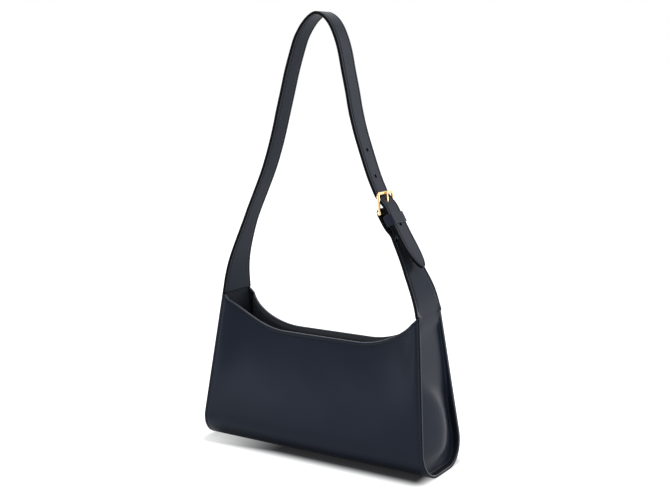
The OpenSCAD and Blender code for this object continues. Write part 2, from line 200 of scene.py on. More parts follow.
@dataclass(frozen=True)
class BagShape:
    """Formulas for the leaning, bowed sides, the rounded base and the scooped mouth."""

    size: BagSizes

    def end_at(self, z: Points) -> Points:
        """Half the bag's length at height z."""
        return self.size.half - (self.size.half - self.size.half_top) * z / self.size.height

    def mouth_at(self, u: Points) -> Points:
        """Height of the mouth's edge at a share u of the half length."""
        rise = np.maximum(0.0, np.abs(u) - self.size.flat_share) / (1 - self.size.flat_share)
        return self.size.mouth_z + (self.size.height - self.size.mouth_z) * rise ** 2

    def tangent_z(self, off: Points) -> Points:
        """Height where the side leaves the base's round, off below the outer face."""
        s = self.size
        return s.base_radius + (s.base_radius - off) * math.sin(s.lean)

    def side_y(self, off: Points, z: Points) -> Points:
        """Distance from the middle to the side at height z, before it bows."""
        s = self.size
        return s.base_c + ((s.base_radius - off) - (z - s.base_radius) * math.sin(s.lean)) / math.cos(s.lean)

    def bow_at(self, u: Points, z: Points) -> Points:
        """How far a side bows in.

        Args:
            u: Share of the half length.
            z: Height.

        Returns:
            The distance that it moves towards the middle.
        """
        s = self.size
        low = self.tangent_z(0.0)
        w = np.minimum(1.0, np.abs(u) / s.corner_share)
        v = np.maximum(0.0, z - low) / (self.mouth_at(u) - low)
        return s.mouth_bow * (1 - w ** s.bow_power) * v * v

    def wall(self, off: Points, u: Points, v: Points, side: Side, drop: float = 0.0) -> Points:
        """Points of a side wall.

        Args:
            off: Depth below the outer face.
            u: Share of the half length.
            v: Share of the way up from the round to the mouth.
            side: Which side.
            drop: How far below the mouth's edge v = 1 is.

        Returns:
            The points, with x, y and z in the last axis.
        """
        low = self.tangent_z(off)
        z = low + (self.mouth_at(u) - drop - low) * v
        y = self.side_y(off, z) - self.bow_at(u, z)
        return np.stack(np.broadcast_arrays(u * self.end_at(z), side * y, z), -1)

    def round(self, off: Points, u: Points, turn: Points, side: Side) -> Points:
        """Points of the base's round.

        Args:
            off: Depth below the outer face.
            u: Share of the half length.
            turn: Share of the turn from the flat to the wall.
            side: Which side.

        Returns:
            The points.
        """
        s = self.size
        a = (math.pi / 2 + s.lean) * turn
        y = s.base_c + (s.base_radius - off) * np.sin(a)
        z = s.base_radius - (s.base_radius - off) * np.cos(a)
        return np.stack(np.broadcast_arrays(u * self.end_at(z), side * y, z), -1)

    def flat(self, off: Points, u: Points, share: Points) -> Points:
        """Points of the flat strip, share going from -1 in front to 1 behind."""
        z = off + 0 * share * u
        return np.stack(np.broadcast_arrays(u * self.end_at(z), share * self.size.base_c, z), -1)


@dataclass(frozen=True)
class Stitched:
    """How leather is rounded at a cut edge and drawn in along its stitching."""

    inset: float = 2.9 * MM
    groove: float = 0.34 * MM
    groove_width: float = 0.7 * MM
    edge_radius: float = 0.55 * MM
    seam_half: float = 0.6 * MM

    @property
    def bed(self) -> float:
        """Depth at which the thread lies in its groove."""
        return 0.75 * self.groove

    @property
    def fine(self) -> tuple[float, ...]:
        """Distances from an edge at which a mesh needs rows to show it."""
        return (tuple(d * MM for d in (0.0, 0.12, 0.3, 0.6, 1.1))
                + tuple(self.inset + k * self.seam_half for k in (-1, 0, 1))
                + tuple(self.inset + self.seam_half + d * MM for d in (0.4, 1.3, 2.9)))

    def seam(self, distance: Points) -> Points:
        """Whether places at a distance from the cut edge lie in the stitching's groove."""
        return np.abs(distance - self.inset) < self.seam_half + 0.1 * MM

    def sink(self, distance: Points) -> Points:
        """How far the surface lies below its plain face.

        Args:
            distance: Distance from the cut edge.

        Returns:
            The depth of the rounded edge and of the groove.
        """
        d = np.maximum(0.0, distance)
        r = self.edge_radius
        rounded = r - np.sqrt(np.maximum(0.0, r * r - np.maximum(0.0, r - d) ** 2))
        groove = self.groove * np.exp(-((d - self.inset) / self.groove_width) ** 2)
        return rounded + groove


def grid_faces(rows: int, columns: int, around: bool = False) -> list[tuple[int, ...]]:
    """Quads between the points of a grid.

    Args:
        rows: Number of rows of points.
        columns: Points in each row.
        around: Whether each row closes on itself.

    Returns:
        The quads as tuples of point indices.
    """
    span = columns if around else columns - 1
    return [(i * columns + j, i * columns + (j + 1) % columns,
             (i + 1) * columns + (j + 1) % columns, (i + 1) * columns + j)
            for i in range(rows - 1) for j in range(span)]


@dataclass
class Pattern:
    """Points and faces of one piece, cut out before it becomes an object.

    Each face keeps the number of the finish that it is dressed in.
    """

    points: list[Points] = field(default_factory=list)
    faces: list[tuple[int, ...]] = field(default_factory=list)
    finishes: list[int] = field(default_factory=list)
    count: int = 0

    def add(self, points: Points, faces: Sequence[tuple[int, ...]], finish: int = 0) -> int:
        """Adds points and the faces between them.

        Args:
            points: One point to a row.
            faces: Faces with indices into these points.
            finish: Number of the finish for these faces.

        Returns:
            The index of the first point.
        """
        start = self.count
        self.points.append(np.asarray(points, float).reshape(-1, 3))
        self.count += len(self.points[-1])
        self.faces += [tuple(i + start for i in f) for f in faces]
        self.finishes += [finish] * len(faces)
        return start

    def slab(self, outer: Points, inner: Points, edge_finish: int = 0, back_finish: int = 0,
             seams: Optional[Points] = None, seam_finish: int = 0) -> "Pattern":
        """Adds a closed sheet between two grids of the same shape.

        Args:
            outer: Grid of the outer face, rows by columns by 3.
            inner: Grid of the inner face.
            edge_finish: Number of the finish for the cut edges.
            back_finish: Number of the finish for the inner face.
            seams: Whether each point of the outer face lies in a seam's groove.
            seam_finish: Number of the finish for the groove's faces.

        Returns:
            The pattern itself.
        """
        rows, columns = outer.shape[:2]
        n = rows * columns
        front = grid_faces(rows, columns)
        start = self.add(np.concatenate([outer.reshape(-1, 3), inner.reshape(-1, 3)]), front)
        if seams is not None:
            self.dress(start, seams, seam_finish)
        self.faces += [tuple(start + n + i for i in reversed(f)) for f in front]
        self.finishes += [back_finish] * len(front)
        ring = (list(range(columns)) + [i * columns + columns - 1 for i in range(1, rows)]
                + [(rows - 1) * columns + j for j in range(columns - 2, -1, -1)]
                + [i * columns for i in range(rows - 2, 0, -1)])
        edge = [(start + b, start + a, start + n + a, start + n + b)
                for a, b in zip(ring, ring[1:] + ring[:1])]
        self.faces += edge
        self.finishes += [edge_finish] * len(edge)
        return self

    def dress(self, start: int, marked: Points, finish: int) -> None:
        """Gives a finish to the faces whose points are all marked.

        Args:
            start: Index of the first point.
            marked: Whether each point from there on is marked.
            finish: Number of the finish.
        """
        flat = np.asarray(marked).reshape(-1)
        for i, face in enumerate(self.faces):
            if all(start <= p < start + len(flat) and flat[p - start] for p in face):
                self.finishes[i] = finish

    def tube(self, rings: Points, around: bool = False, finish: int = 0) -> "Pattern":
        """Adds a tube through rings of points.

        Args:
            rings: Rings by points by 3.
            around: Whether the last ring joins the first, where flat faces would close the ends.
            finish: Number of the finish.

        Returns:
            The pattern itself.
        """
        count, sides = rings.shape[:2]
        n = count * sides
        faces = [tuple(i % n for i in f) for f in grid_faces(count + around, sides, around=True)]
        if not around:
            faces += [tuple(range(sides))[::-1], tuple(range(n - sides, n))]
        self.add(rings, faces, finish)
        return self


@dataclass
class Dresser:
    """Turns patterns into objects and puts them on the frame.

    Materials are kept by name, and edges above the sharp angle stay sharp.
    """

    materials: dict[str, bpy.types.Material]
    sharp: float = math.radians(50)

    def make(self, name: str, pattern: Pattern, finishes: Sequence[str],
             flat: bool = False) -> bpy.types.Object:
        """Makes an object from a pattern.

        Args:
            name: The piece's name.
            pattern: Its points and faces.
            finishes: Names of the finishes that its faces' numbers stand for.
            flat: Whether it is left flat shaded.

        Returns:
            The object, linked to the scene.
        """
        mesh = bpy.data.meshes.new(name)
        mesh.from_pydata(np.concatenate(pattern.points).tolist(), [], pattern.faces)
        mesh.update()
        shaper = bmesh.new()
        shaper.from_mesh(mesh)
        bmesh.ops.recalc_face_normals(shaper, faces=shaper.faces)
        shaper.to_mesh(mesh)
        shaper.free()
        for finish in finishes:
            mesh.materials.append(self.materials[finish])
        mesh.polygons.foreach_set("material_index", pattern.finishes)
        mesh.polygons.foreach_set("use_smooth", [not flat] * len(mesh.polygons))
        if not flat:
            mesh.set_sharp_from_angle(angle=self.sharp)
        mesh.update()
        piece = bpy.data.objects.new(name, mesh)
        bpy.context.scene.collection.objects.link(piece)
        return piece

    def cut(self, piece: bpy.types.Object, cutter: Pattern) -> None:
        """Cuts a closed pattern out of an object.

        Args:
            piece: The object that is cut.
            cutter: The pattern that is taken away.
        """
        cutter_piece = self.make("cutter", cutter, ("edge_paint",), flat=True)
        tool = piece.modifiers.new("cut", "BOOLEAN")
        tool.operation = "DIFFERENCE"
        tool.solver = "EXACT"
        tool.object = cutter_piece
        bpy.context.view_layer.update()
        shaped = bpy.data.meshes.new_from_object(
            piece.evaluated_get(bpy.context.evaluated_depsgraph_get()))
        piece.modifiers.clear()
        piece.data = shaped
        shaped.name = piece.name
        shaped.set_sharp_from_angle(angle=self.sharp)
        bpy.data.objects.remove(cutter_piece)

    def finish(self, node: str, finish: str) -> None:
        """Gives a CAD node that stays its finish.

        Args:
            node: The node's name.
            finish: The finish's name.
        """
        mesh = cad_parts[node].data
        mesh.materials.clear()
        mesh.materials.append(self.materials[finish])

    def seat(self, name: str, pattern: Pattern, finishes: Sequence[str], slot: str, body: str,
             *nodes: str) -> None:
        """Makes a piece and rides it on a body, in the place of CAD nodes.

        Args:
            name: The piece's name.
            pattern: Its points and faces.
            finishes: Names of the finishes that its faces' numbers stand for.
            slot: The record's material slot, not used.
            body: The body that carries it.
            nodes: Names of the nodes that it stands for.
        """
        piece = self.make(name, pattern, finishes)
        log.info("%s rides on %s", name, body)
        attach(piece, body)
        if nodes:
            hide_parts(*nodes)

    @staticmethod
    def bend(piece: bpy.types.Object, heights: tuple[float, float], *nodes: str) -> None:
        """Bakes a piece's place into its mesh, and hides the nodes that it stands for.

        Args:
            piece: The piece.
            heights: Heights between which it would bend, not used.
            nodes: Names of the nodes that it stands for.
        """
        log.info("%s bends between bag and strap", piece.name)
        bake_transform(piece)
        if nodes:
            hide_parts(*nodes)


@dataclass(frozen=True)
class Thread:
    """A row of stitches of waxed thread.

    Each station has its share of the stitch's length, its girth and its depth, as shares of the radius.
    """

    length: float = 2.7 * MM
    pitch: float = 3.5 * MM
    radius: float = 0.28 * MM
    proud: float = 0.04 * MM
    flatness: float = 0.8
    sides: int = 6
    stations: tuple[tuple[float, float, float], ...] = (
        (0.0, 0.35, 0.6), (0.12, 0.85, 0.0), (0.5, 1.0, 0.0), (0.88, 0.85, 0.0), (1.0, 0.35, 0.6))

    def sew(self, pattern: Pattern, course: Points, normals: Points) -> None:
        """Adds the stitches along a course to a pattern.

        Args:
            pattern: The pattern that they are added to.
            course: Points along the row, on the leather.
            normals: The leather's outward direction at each point.
        """
        steps = np.linalg.norm(np.diff(course, axis=0), axis=1)
        along = np.concatenate([[0.0], np.cumsum(steps)])
        count = int((along[-1] - self.length) / self.pitch) + 1
        if count < 1:
            return
        spare = (along[-1] - (count - 1) * self.pitch - self.length) / 2
        starts = spare + self.pitch * np.arange(count)
        ends = starts + self.length

        def at(places: Points, values: Points) -> Points:
            """Values along the course at some places."""
            return np.stack([np.interp(places, along, values[:, k]) for k in range(3)], -1)

        head, foot = at(starts, course), at(ends, course)
        up = at((starts + ends) / 2, normals)
        up /= np.linalg.norm(up, axis=1, keepdims=True)
        way = foot - head
        way /= np.linalg.norm(way, axis=1, keepdims=True)
        across = np.cross(up, way)
        across /= np.linalg.norm(across, axis=1, keepdims=True)
        middle = at((starts + ends) / 2, course)
        angles = 2 * math.pi * np.arange(self.sides) / self.sides
        round_section = (across[:, None, :] * np.cos(angles)[None, :, None]
                         + self.flatness * up[:, None, :] * np.sin(angles)[None, :, None])
        rings = []
        for place, girth, sunk in self.stations:
            base = middle if place == 0.5 else head + (foot - head) * place
            base = base + up * (self.proud - sunk * self.radius)
            rings.append(base[:, None, :] + self.radius * girth * round_section)
        for stitch in np.stack(rings, 1):
            pattern.tube(stitch)


def outward(points: Points, inner: Points) -> Points:
    """Unit directions from points on an inner face to the outer ones above them."""
    d = points - inner
    return d / np.linalg.norm(d, axis=-1, keepdims=True)


def bead(pattern: Pattern, low: Points, high: Points, out: Points, proud: float, finish: int = 0) -> None:
    """Adds a rounded bead of edge paint between two lines along a cut edge.

    Args:
        pattern: The pattern that it is added to.
        low: Line along one face's edge.
        high: Line along the other face's edge.
        out: The direction out of the edge at each point.
        proud: How far the bead stands out.
        finish: Number of the finish.
    """
    shares = (0.0, 0.04, 0.16, 0.34, 0.5, 0.66, 0.84, 0.96, 1.0)
    heights = [math.sqrt(max(0.0, 1 - (2 * s - 1) ** 2)) for s in shares]
    ring = [low + (high - low) * s + out * (proud * h) for s, h in zip(shares, heights)]
    inward = [high - out * proud, low - out * proud]
    pattern.tube(np.stack(ring + inward, 1), finish=finish)


@dataclass
class Wire:
    """A shader socket that takes part in sums, so that maths reads as an expression."""

    bench: "Bench"
    socket: bpy.types.NodeSocket

    def _math(self, operation: str, *values: Any) -> "Wire":
        """Adds a Math node and gives its result."""
        return self.bench.node("ShaderNodeMath", {"operation": operation}, dict(enumerate(values)))

    def __add__(self, other: Any) -> "Wire":
        """Sum."""
        return self._math("ADD", self, other)

    __radd__ = __add__

    def __mul__(self, other: Any) -> "Wire":
        """Product."""
        return self._math("MULTIPLY", self, other)

    __rmul__ = __mul__

    def __sub__(self, other: Any) -> "Wire":
        """Difference."""
        return self._math("SUBTRACT", self, other)

    def __rsub__(self, other: Any) -> "Wire":
        """Difference with the socket taken away."""
        return self._math("SUBTRACT", other, self)

    def __pow__(self, other: Any) -> "Wire":
        """Power."""
        return self._math("POWER", self, other)

    def __rpow__(self, other: Any) -> "Wire":
        """Power with the socket as exponent."""
        return self._math("POWER", other, self)

    def clamped(self) -> "Wire":
        """Value kept between 0 and 1."""
        return self.bench.node("ShaderNodeClamp", {}, {0: self})

    def magnitude(self) -> "Wire":
        """Value without its sign."""
        return self._math("ABSOLUTE", self)

    def larger(self, other: Any) -> "Wire":
        """Larger of two values."""
        return self._math("MAXIMUM", self, other)


class Bench:
    """The nodes of one material, or of the world."""

    def __init__(self, block: Any) -> None:
        """Takes up a material's or the world's nodes, with the shader that it starts with."""
        block.use_nodes = True
        self.block, self.tree = block, block.node_tree

    @classmethod
    def material(cls, name: str) -> "Bench":
        """Starts a material."""
        return cls(bpy.data.materials.new(name))

    def node(self, kind: str, settings: Optional[dict[str, Any]] = None,
             inputs: Optional[dict[Any, Any]] = None, output: Any = 0) -> Wire:
        """Adds a node of any type.

        Args:
            kind: The node's type.
            settings: Its settings, which are set first.
            inputs: Values or wires for its sockets, by name or number.
            output: Name or number of the output that is wanted.

        Returns:
            That output.
        """
        made = self.tree.nodes.new(kind)
        for key, value in (settings or {}).items():
            setattr(made, key, value)
        for key, value in (inputs or {}).items():
            self.join(value, made.inputs[key])
        return Wire(self, made.outputs[output])

    def join(self, value: Any, socket: bpy.types.NodeSocket) -> None:
        """Links a wire to a socket, or sets a plain value on it.

        Args:
            value: The wire or the value.
            socket: The input socket.
        """
        if isinstance(value, Wire):
            self.tree.links.new(value.socket, socket)
        else:
            socket.default_value = value

    def eased(self, value: Wire, span: tuple[float, float], ends: tuple[float, float] = (0.0, 1.0)) -> Wire:
        """Value eased from one end to the other while the given one crosses a span."""
        return self.node("ShaderNodeMapRange", {"interpolation_type": "SMOOTHSTEP"}, {
            "Value": value, "From Min": span[0], "From Max": span[1], "To Min": ends[0], "To Max": ends[1]})

    def mix(self, factor: Any, low: Any, high: Any) -> Wire:
        """Colour between two colours."""
        return self.node("ShaderNodeMix", {"data_type": "RGBA"}, {0: factor, 6: low, 7: high}, output=2)

    def place(self) -> Wire:
        """Position on the piece, in metres."""
        return self.node("ShaderNodeTexCoord", output="Object")

    def noise(self, scale: float, detail: float = 2.0, roughness: float = 0.5) -> Wire:
        """Cloudy value from 0 to 1, scale being features to the metre."""
        return self.node("ShaderNodeTexNoise", {}, {
            "Vector": self.place(), "Scale": scale, "Detail": detail, "Roughness": roughness})

    def cells(self, scale: float, feature: str = "F1") -> Wire:
        """Distance to the nearest of many scattered points."""
        return self.node("ShaderNodeTexVoronoi", {"feature": feature}, {
            "Vector": self.place(), "Scale": scale}, output="Distance")

    def bump(self, height: Wire, distance: float, strength: float = 1.0) -> Wire:
        """Normal that follows a height, distance being the height of 1 in metres."""
        return self.node("ShaderNodeBump", {}, {
            "Height": height, "Distance": distance, "Strength": strength}, output="Normal")

    def rays(self) -> list[Wire]:
        """Whether a ray comes from the camera, from a glossy surface, or through a clear one."""
        return [self.node("ShaderNodeLightPath", output=f"Is {kind} Ray")
                for kind in ("Camera", "Glossy", "Transmission")]

    def set(self, **values: Any) -> bpy.types.Material:
        """Sets the Principled shader's sockets.

        Args:
            values: Wires or values by the sockets' names, with spaces as underscores.

        Returns:
            The material.
        """
        shader = self.tree.nodes["Principled BSDF"]
        for key, value in values.items():
            self.join(value, shader.inputs[key.replace("_", " ")])
        return self.block


Colour = tuple[float, float, float, float]


def srgb(red: int, green: int, blue: int) -> Colour:
    """Colour as a screen shows it, from 0 to 255, as the shader takes it."""
    channels = [v / 12.92 if v <= 0.04045 else ((v + 0.055) / 1.055) ** 2.4
                for v in (red / 255, green / 255, blue / 255)]
    return (*channels, 1.0)


@dataclass(frozen=True)
class Leather:
    """Smooth calf leather with a fine grain and a satin sheen."""

    name: str
    colour: Colour
    shade: float = 0.9
    roughness: float = 0.33
    specular: float = 0.115
    tint: Colour = (0.66, 0.80, 1.0, 1.0)
    grain: float = 0.018 * MM
    grain_scale: float = 1700.0

    def make(self) -> bpy.types.Material:
        """Builds the material.

        Returns:
            The material.
        """
        b = Bench.material(self.name)
        dark = tuple(c * self.shade for c in self.colour[:3]) + (1.0,)
        cloud = b.noise(38.0, 3.0)
        pores = b.cells(self.grain_scale)
        creases = b.cells(self.grain_scale * 0.45, "DISTANCE_TO_EDGE")
        rise = pores * 0.55 + (creases * 3.0).clamped() * 0.45 + b.noise(420.0, 2.0) * 0.9
        return b.set(Base_Color=b.mix(cloud, dark, self.colour),
                     Roughness=(cloud - 0.5) * 0.10 + self.roughness,
                     Specular_IOR_Level=self.specular, Specular_Tint=self.tint,
                     Normal=b.bump(rise, self.grain))


@dataclass(frozen=True)
class EdgePaint:
    """Black paint that closes the cut edges, laid on in smooth coats."""

    name: str = "edge_paint"
    colour: Colour = (0.0020, 0.0024, 0.0034, 1.0)
    roughness: float = 0.38
    specular: float = 0.05

    def make(self) -> bpy.types.Material:
        """Builds the material.

        Returns:
            The material.
        """
        b = Bench.material(self.name)
        return b.set(Base_Color=self.colour, Roughness=b.noise(260.0) * 0.12 + (self.roughness - 0.06),
                     Specular_IOR_Level=self.specular, Normal=b.bump(b.noise(350.0), 0.03 * MM))


@dataclass(frozen=True)
class Waxed:
    """Waxed thread, twisted from fine strands."""

    name: str = "thread"
    colour: Colour = (0.010, 0.011, 0.014, 1.0)

    def make(self) -> bpy.types.Material:
        """Builds the material.

        Returns:
            The material.
        """
        b = Bench.material(self.name)
        return b.set(Base_Color=self.colour, Roughness=0.55, Specular_IOR_Level=0.25,
                     Normal=b.bump(b.noise(3500.0), 0.03 * MM))


@dataclass(frozen=True)
class Plate:
    """Polished gold-coloured plating."""

    name: str = "plate"
    colour: Colour = (0.85, 0.64, 0.33, 1.0)
    roughness: float = 0.09

    def make(self) -> bpy.types.Material:
        """Builds the material.

        Returns:
            The material.
        """
        b = Bench.material(self.name)
        return b.set(Base_Color=self.colour, Metallic=1.0,
                     Roughness=b.noise(300.0, 3.0) * 0.08 + (self.roughness - 0.04),
                     Normal=b.bump(b.noise(90.0), 0.02 * MM))


@dataclass(frozen=True)
class Cloth:
    """Fine twill of the lining."""

    name: str = "twill"
    colour: Colour = (0.016, 0.017, 0.020, 1.0)
    pitch: float = 0.55 * MM

    def make(self) -> bpy.types.Material:
        """Builds the material.

        Returns:
            The material.
        """
        b = Bench.material(self.name)
        wave = b.node("ShaderNodeTexWave", {"wave_type": "BANDS", "bands_direction": "DIAGONAL"}, {
            "Vector": b.place(), "Scale": 0.314 / self.pitch, "Distortion": 0.6, "Detail": 1.0})
        dark = tuple(c * 0.7 for c in self.colour[:3]) + (1.0,)
        return b.set(Base_Color=b.mix(wave, dark, self.colour), Roughness=0.85, Specular_IOR_Level=0.2,
                     Normal=b.bump(wave, 0.06 * MM))


@dataclass(frozen=True)
class Board:
    """Pressed fibre of the stiffeners and the base board."""

    name: str = "fibre_board"
    colour: Colour = (0.20, 0.19, 0.17, 1.0)

    def make(self) -> bpy.types.Material:
        """Builds the material.

        Returns:
            The material.
        """
        b = Bench.material(self.name)
        return b.set(Base_Color=self.colour, Roughness=0.9, Normal=b.bump(b.noise(900.0), 0.05 * MM))


@dataclass(frozen=True)
class PaperWithPaintedShadow:
    """White background that keeps the object's shadow.

    Its colour and its glow are painted darker round the bag's foot as a painted shadow, also where glossy
    surfaces see it, and that painted shadow is painted lighter towards the bag's left end, as if that end
    stood clear of the ground.
    """

    name: str = "white_paper_with_painted_shadow"
    colour: Colour = (0.70, 0.70, 0.70, 1.0)
    fill: Colour = (0.85, 0.85, 0.85, 1.0)
    foot: tuple[float, float] = (112 * MM, 31 * MM)
    # Painted shadow: the colour painted round the bag's foot, and the distances from the foot over which it
    # fades out.
    near: Colour = (0.05, 0.05, 0.06, 1.0)
    fade: tuple[float, float] = (-2 * MM, 21 * MM)
    # Distances over which the painted shadow fades in the glow that glossy surfaces see, a painted shadow in
    # reflections.
    painted_shadow_in_reflection: tuple[float, float] = (-4 * MM, 24 * MM)
    # How much lighter the painted shadow is painted at the left end, and the span of x over which that
    # lightening fades.
    clear: float = 0.72
    painted_shadow_lightening_span: tuple[float, float] = (-128 * MM, -30 * MM)

    def make(self) -> bpy.types.Material:
        """Builds the material.

        Returns:
            The material.
        """
        b = Bench.material(self.name)
        camera, glossy, through = b.rays()
        x, y = (b.node("ShaderNodeSeparateXYZ", {}, {0: b.place()}, output=axis) for axis in ("X", "Y"))
        beside, before = ((w.magnitude() - reach).larger(0.0) for w, reach in zip((x, y), self.foot))
        distance = (beside * beside + before * before) ** 0.5
        # Painted shadow: weight of the plain floor, low round the bag's foot and raised towards the left end,
        # where the painted shadow is painted lighter.
        away = b.eased(distance, self.fade).larger(b.eased(x, self.painted_shadow_lightening_span, (self.clear, 0.0)))
        # The floor's glow, faded round the foot as a painted shadow for the camera and, over a longer span,
        # in glossy reflections.
        glow_with_painted_shadow = (camera * away).larger(glossy * b.eased(distance, self.painted_shadow_in_reflection)).larger(through)
        return b.set(Base_Color=b.mix(away, self.near, self.colour), Roughness=0.9, Specular_IOR_Level=0.0,
                     Emission_Color=b.mix(glow_with_painted_shadow, (0.0, 0.0, 0.0, 1.0), self.fill), Emission_Strength=1.0)


@dataclass
class Body:
    """Outer leather: one piece for the front and base, and the back that is sewn to it.

    The mouth's stitches stop short of the corners, and its paint goes past them, by shares of the
    half length. The back seam's stitches start some insets from its ends, and the rims' lip stands
    out by a share of their paint.
    """

    dresser: Dresser
    size: BagSizes
    shape: BagShape
    stitched: Stitched = field(default_factory=Stitched)
    thread: Thread = field(default_factory=Thread)
    step: float = 5 * MM
    slack: float = 0.3 * MM
    paint_proud: float = 0.32 * MM
    paint_inset: float = 0.12 * MM
    lip: float = 0.2 * MM
    seam_gap: float = 0.25 * MM
    stitches_short: float = 0.01
    paint_past: float = 0.045
    seam_ends: float = 1.6
    lip_share: float = 0.6
    finishes: tuple[str, ...] = ("leather", "edge_paint", "flesh", "seam")

    def columns(self) -> Points:
        """Shares of the half length at which the leather has columns of points."""
        return spread(self.size.length, self.step, self.stitched.fine) / self.size.half - 1

    def give(self, u: Points, rise: Points) -> Points:
        """Slight hollows and swells that soft leather has.

        Args:
            u: Share of the half length.
            rise: Share of the way up the wall.

        Returns:
            Their depth.
        """
        wave = (np.sin(4.1 * u + 0.7) * np.sin(2.6 * rise + 0.4) + 0.6 * np.sin(7.3 * u - 1.9)
                * np.sin(4.9 * rise + 1.3) + 0.35 * np.sin(12.7 * u + 2.2) * np.sin(8.3 * rise))
        return self.slack * wave * (1 - np.abs(u) ** 6) * smooth_step(1 - np.abs(2 * rise - 1) ** 4)

    def wall_shares(self, u: Points) -> tuple[Points, Points]:
        """Rows up a wall.

        Args:
            u: Share of the half length of each column.

        Returns:
            Shares of the way up, from the mouth down to the round, and distances below the mouth.
        """
        height = (self.shape.mouth_at(u) - self.shape.tangent_z(0.0)) / math.cos(self.size.lean)
        fine = np.array(self.stitched.fine)[:, None] + 0 * u[None, :]
        count = 20
        rest = fine[-1] + (height - fine[-1]) * (np.arange(1, count + 1) / count)[:, None]
        below = np.concatenate([fine, rest])
        return 1 - below / height, below

    def end_distance(self, u: Points) -> Points:
        """Distance of each column from the nearer end."""
        return (1 - np.abs(u)) * self.size.half

    def wall_rows(self, side: Side, outer: bool) -> Points:
        """Grid of a wall from the mouth down.

        Args:
            side: Which side.
            outer: Whether it is the outer face, rounded at its edges and drawn in by its stitches.

        Returns:
            Rows by columns by 3.
        """
        u = self.columns()
        v, below = self.wall_shares(u)
        grid_u = np.broadcast_to(u, v.shape)
        sink = np.maximum(self.stitched.sink(self.end_distance(grid_u)), self.stitched.sink(below))
        depth = self.give(grid_u, v) + (sink if outer else self.size.leather)
        return self.shape.wall(depth, grid_u, v, side)

    def round_rows(self, side: Side, turns: Points, outer: bool) -> Points:
        """Grid round the base's corner, which behind the bag ends at the back seam.

        Args:
            side: Which side.
            turns: Rows, as shares of the turn from the flat to the wall.
            outer: Whether it is the outer face.

        Returns:
            Rows by columns by 3.
        """
        u = self.columns()
        depth = self.stitched.sink(self.end_distance(u))[None, :] + 0 * turns[:, None]
        if side == Side.BACK:
            depth = np.maximum(depth, self.stitched.sink(self.from_seam(turns))[:, None])
        if not outer:
            depth = self.size.leather + 0 * depth
        return self.shape.round(depth, u[None, :], turns[:, None], side)

    @property
    def arc(self) -> float:
        """Length of the base's round on the outer face."""
        return self.size.base_radius * (math.pi / 2 + self.size.lean)

    def from_seam(self, turns: Points) -> Points:
        """Distance along the round from the back seam."""
        return np.abs(turns - self.size.seam_turn) * self.arc

    def seam_turns(self, far: float) -> Points:
        """Rows from the back seam to another turn, closer together near the seam.

        Args:
            far: The other turn, as a share of the turn from the flat to the wall.

        Returns:
            Such shares.
        """
        near = self.size.seam_turn + math.copysign(1, far - self.size.seam_turn) * (
            np.array(self.stitched.fine) + self.seam_gap / 2) / self.arc
        return np.concatenate([near, np.linspace(near[-1], far, 7)[1:]])

    def front_section(self, outer: bool) -> Points:
        """Grid of the front, the base and its turn up behind.

        Args:
            outer: Whether it is the outer face.

        Returns:
            Rows by columns by 3.
        """
        u = self.columns()
        shares = np.linspace(-1, 1, 7)[1:, None]
        depth = self.stitched.sink(self.end_distance(u)) if outer else self.size.leather + 0 * u
        return np.concatenate([
            self.wall_rows(Side.FRONT, outer), self.round_rows(Side.FRONT, np.linspace(1, 0, 15)[1:], outer),
            self.shape.flat(depth + 0 * shares, u[None, :], shares),
            self.round_rows(Side.BACK, self.seam_turns(0.0)[::-1][1:], outer)])

    def back_section(self, outer: bool) -> Points:
        """Grid of the back, from the seam up to the mouth."""
        low = self.round_rows(Side.BACK, self.seam_turns(1.0)[:-1], outer)
        return np.concatenate([low, self.wall_rows(Side.BACK, outer)[::-1]])

    def seams(self, rows: int, turned: bool) -> Points:
        """Whether each point of a section lies in a groove of its stitching.

        Args:
            rows: Rows of the section.
            turned: Whether the section starts at the seam and ends at the mouth.

        Returns:
            Rows by columns.
        """
        u = self.columns()
        mouth = self.stitched.seam(self.wall_shares(u)[1])
        mouth = np.concatenate([mouth, np.zeros((rows - len(mouth), len(u)), bool)])
        return (mouth[::-1] if turned else mouth) | self.stitched.seam(self.end_distance(u))[None, :]

    def line(self, side: Side, below: float, off: float, reach: float) -> Points:
        """Line along a wall.

        Args:
            side: Which side.
            below: Distance below the mouth.
            off: Depth below the outer face.
            reach: Share of the half length that it covers.

        Returns:
            The points of the line.
        """
        u = np.linspace(-reach, reach, 240)
        height = (self.shape.mouth_at(u) - self.shape.tangent_z(0.0)) / math.cos(self.size.lean)
        v = 1 - below / height
        return self.shape.wall(off + self.give(u, v), u, v, side)

    def rim_line(self, end: End, inset: float, off: float) -> Points:
        """Line round one end, from the top corner in front, under the base, to the one behind.

        Args:
            end: Which end.
            inset: Distance from the cut edge.
            off: Depth below the outer face.

        Returns:
            The points of the line.
        """
        down = np.linspace(1, 0, 60)
        turns = np.linspace(1, 0, 36)[1:]
        shares = np.linspace(-1, 1, 8)[1:]
        u = end * (1 - inset / self.size.half)
        return np.concatenate([
            self.shape.wall(off, u + 0 * down, down, Side.FRONT),
            self.shape.round(off, u + 0 * turns, turns, Side.FRONT),
            self.shape.flat(off, u + 0 * shares, shares),
            self.shape.round(off, u + 0 * turns, turns[::-1], Side.BACK)[1:],
            self.shape.wall(off, u + 0 * down, down[::-1], Side.BACK)])

    def build(self) -> None:
        """Makes the leather, its stitching and its painted edges, and seats them."""
        for section, turned, side in ((self.front_section, False, Side.FRONT),
                                      (self.back_section, True, Side.BACK)):
            face = section(True)
            panel = Pattern().slab(face, section(False), 1, 2, self.seams(len(face), turned), 3)
            self.dresser.seat(f"{side.name.lower()}_leather", panel, self.finishes, "leather", "bag",
                              "back_panel" if turned else "front_wrap")
        self.sew()
        self.paint()

    def row(self, name: str, outer: Points, inner: Points) -> None:
        """Makes a row of stitches.

        Args:
            name: The piece's name.
            outer: The row's line on the leather's outer face.
            inner: The same line on its inner face.
        """
        stitches = Pattern()
        self.thread.sew(stitches, outer, outward(outer, inner))
        self.dresser.seat(name, stitches, ("thread",), "leather", "bag")

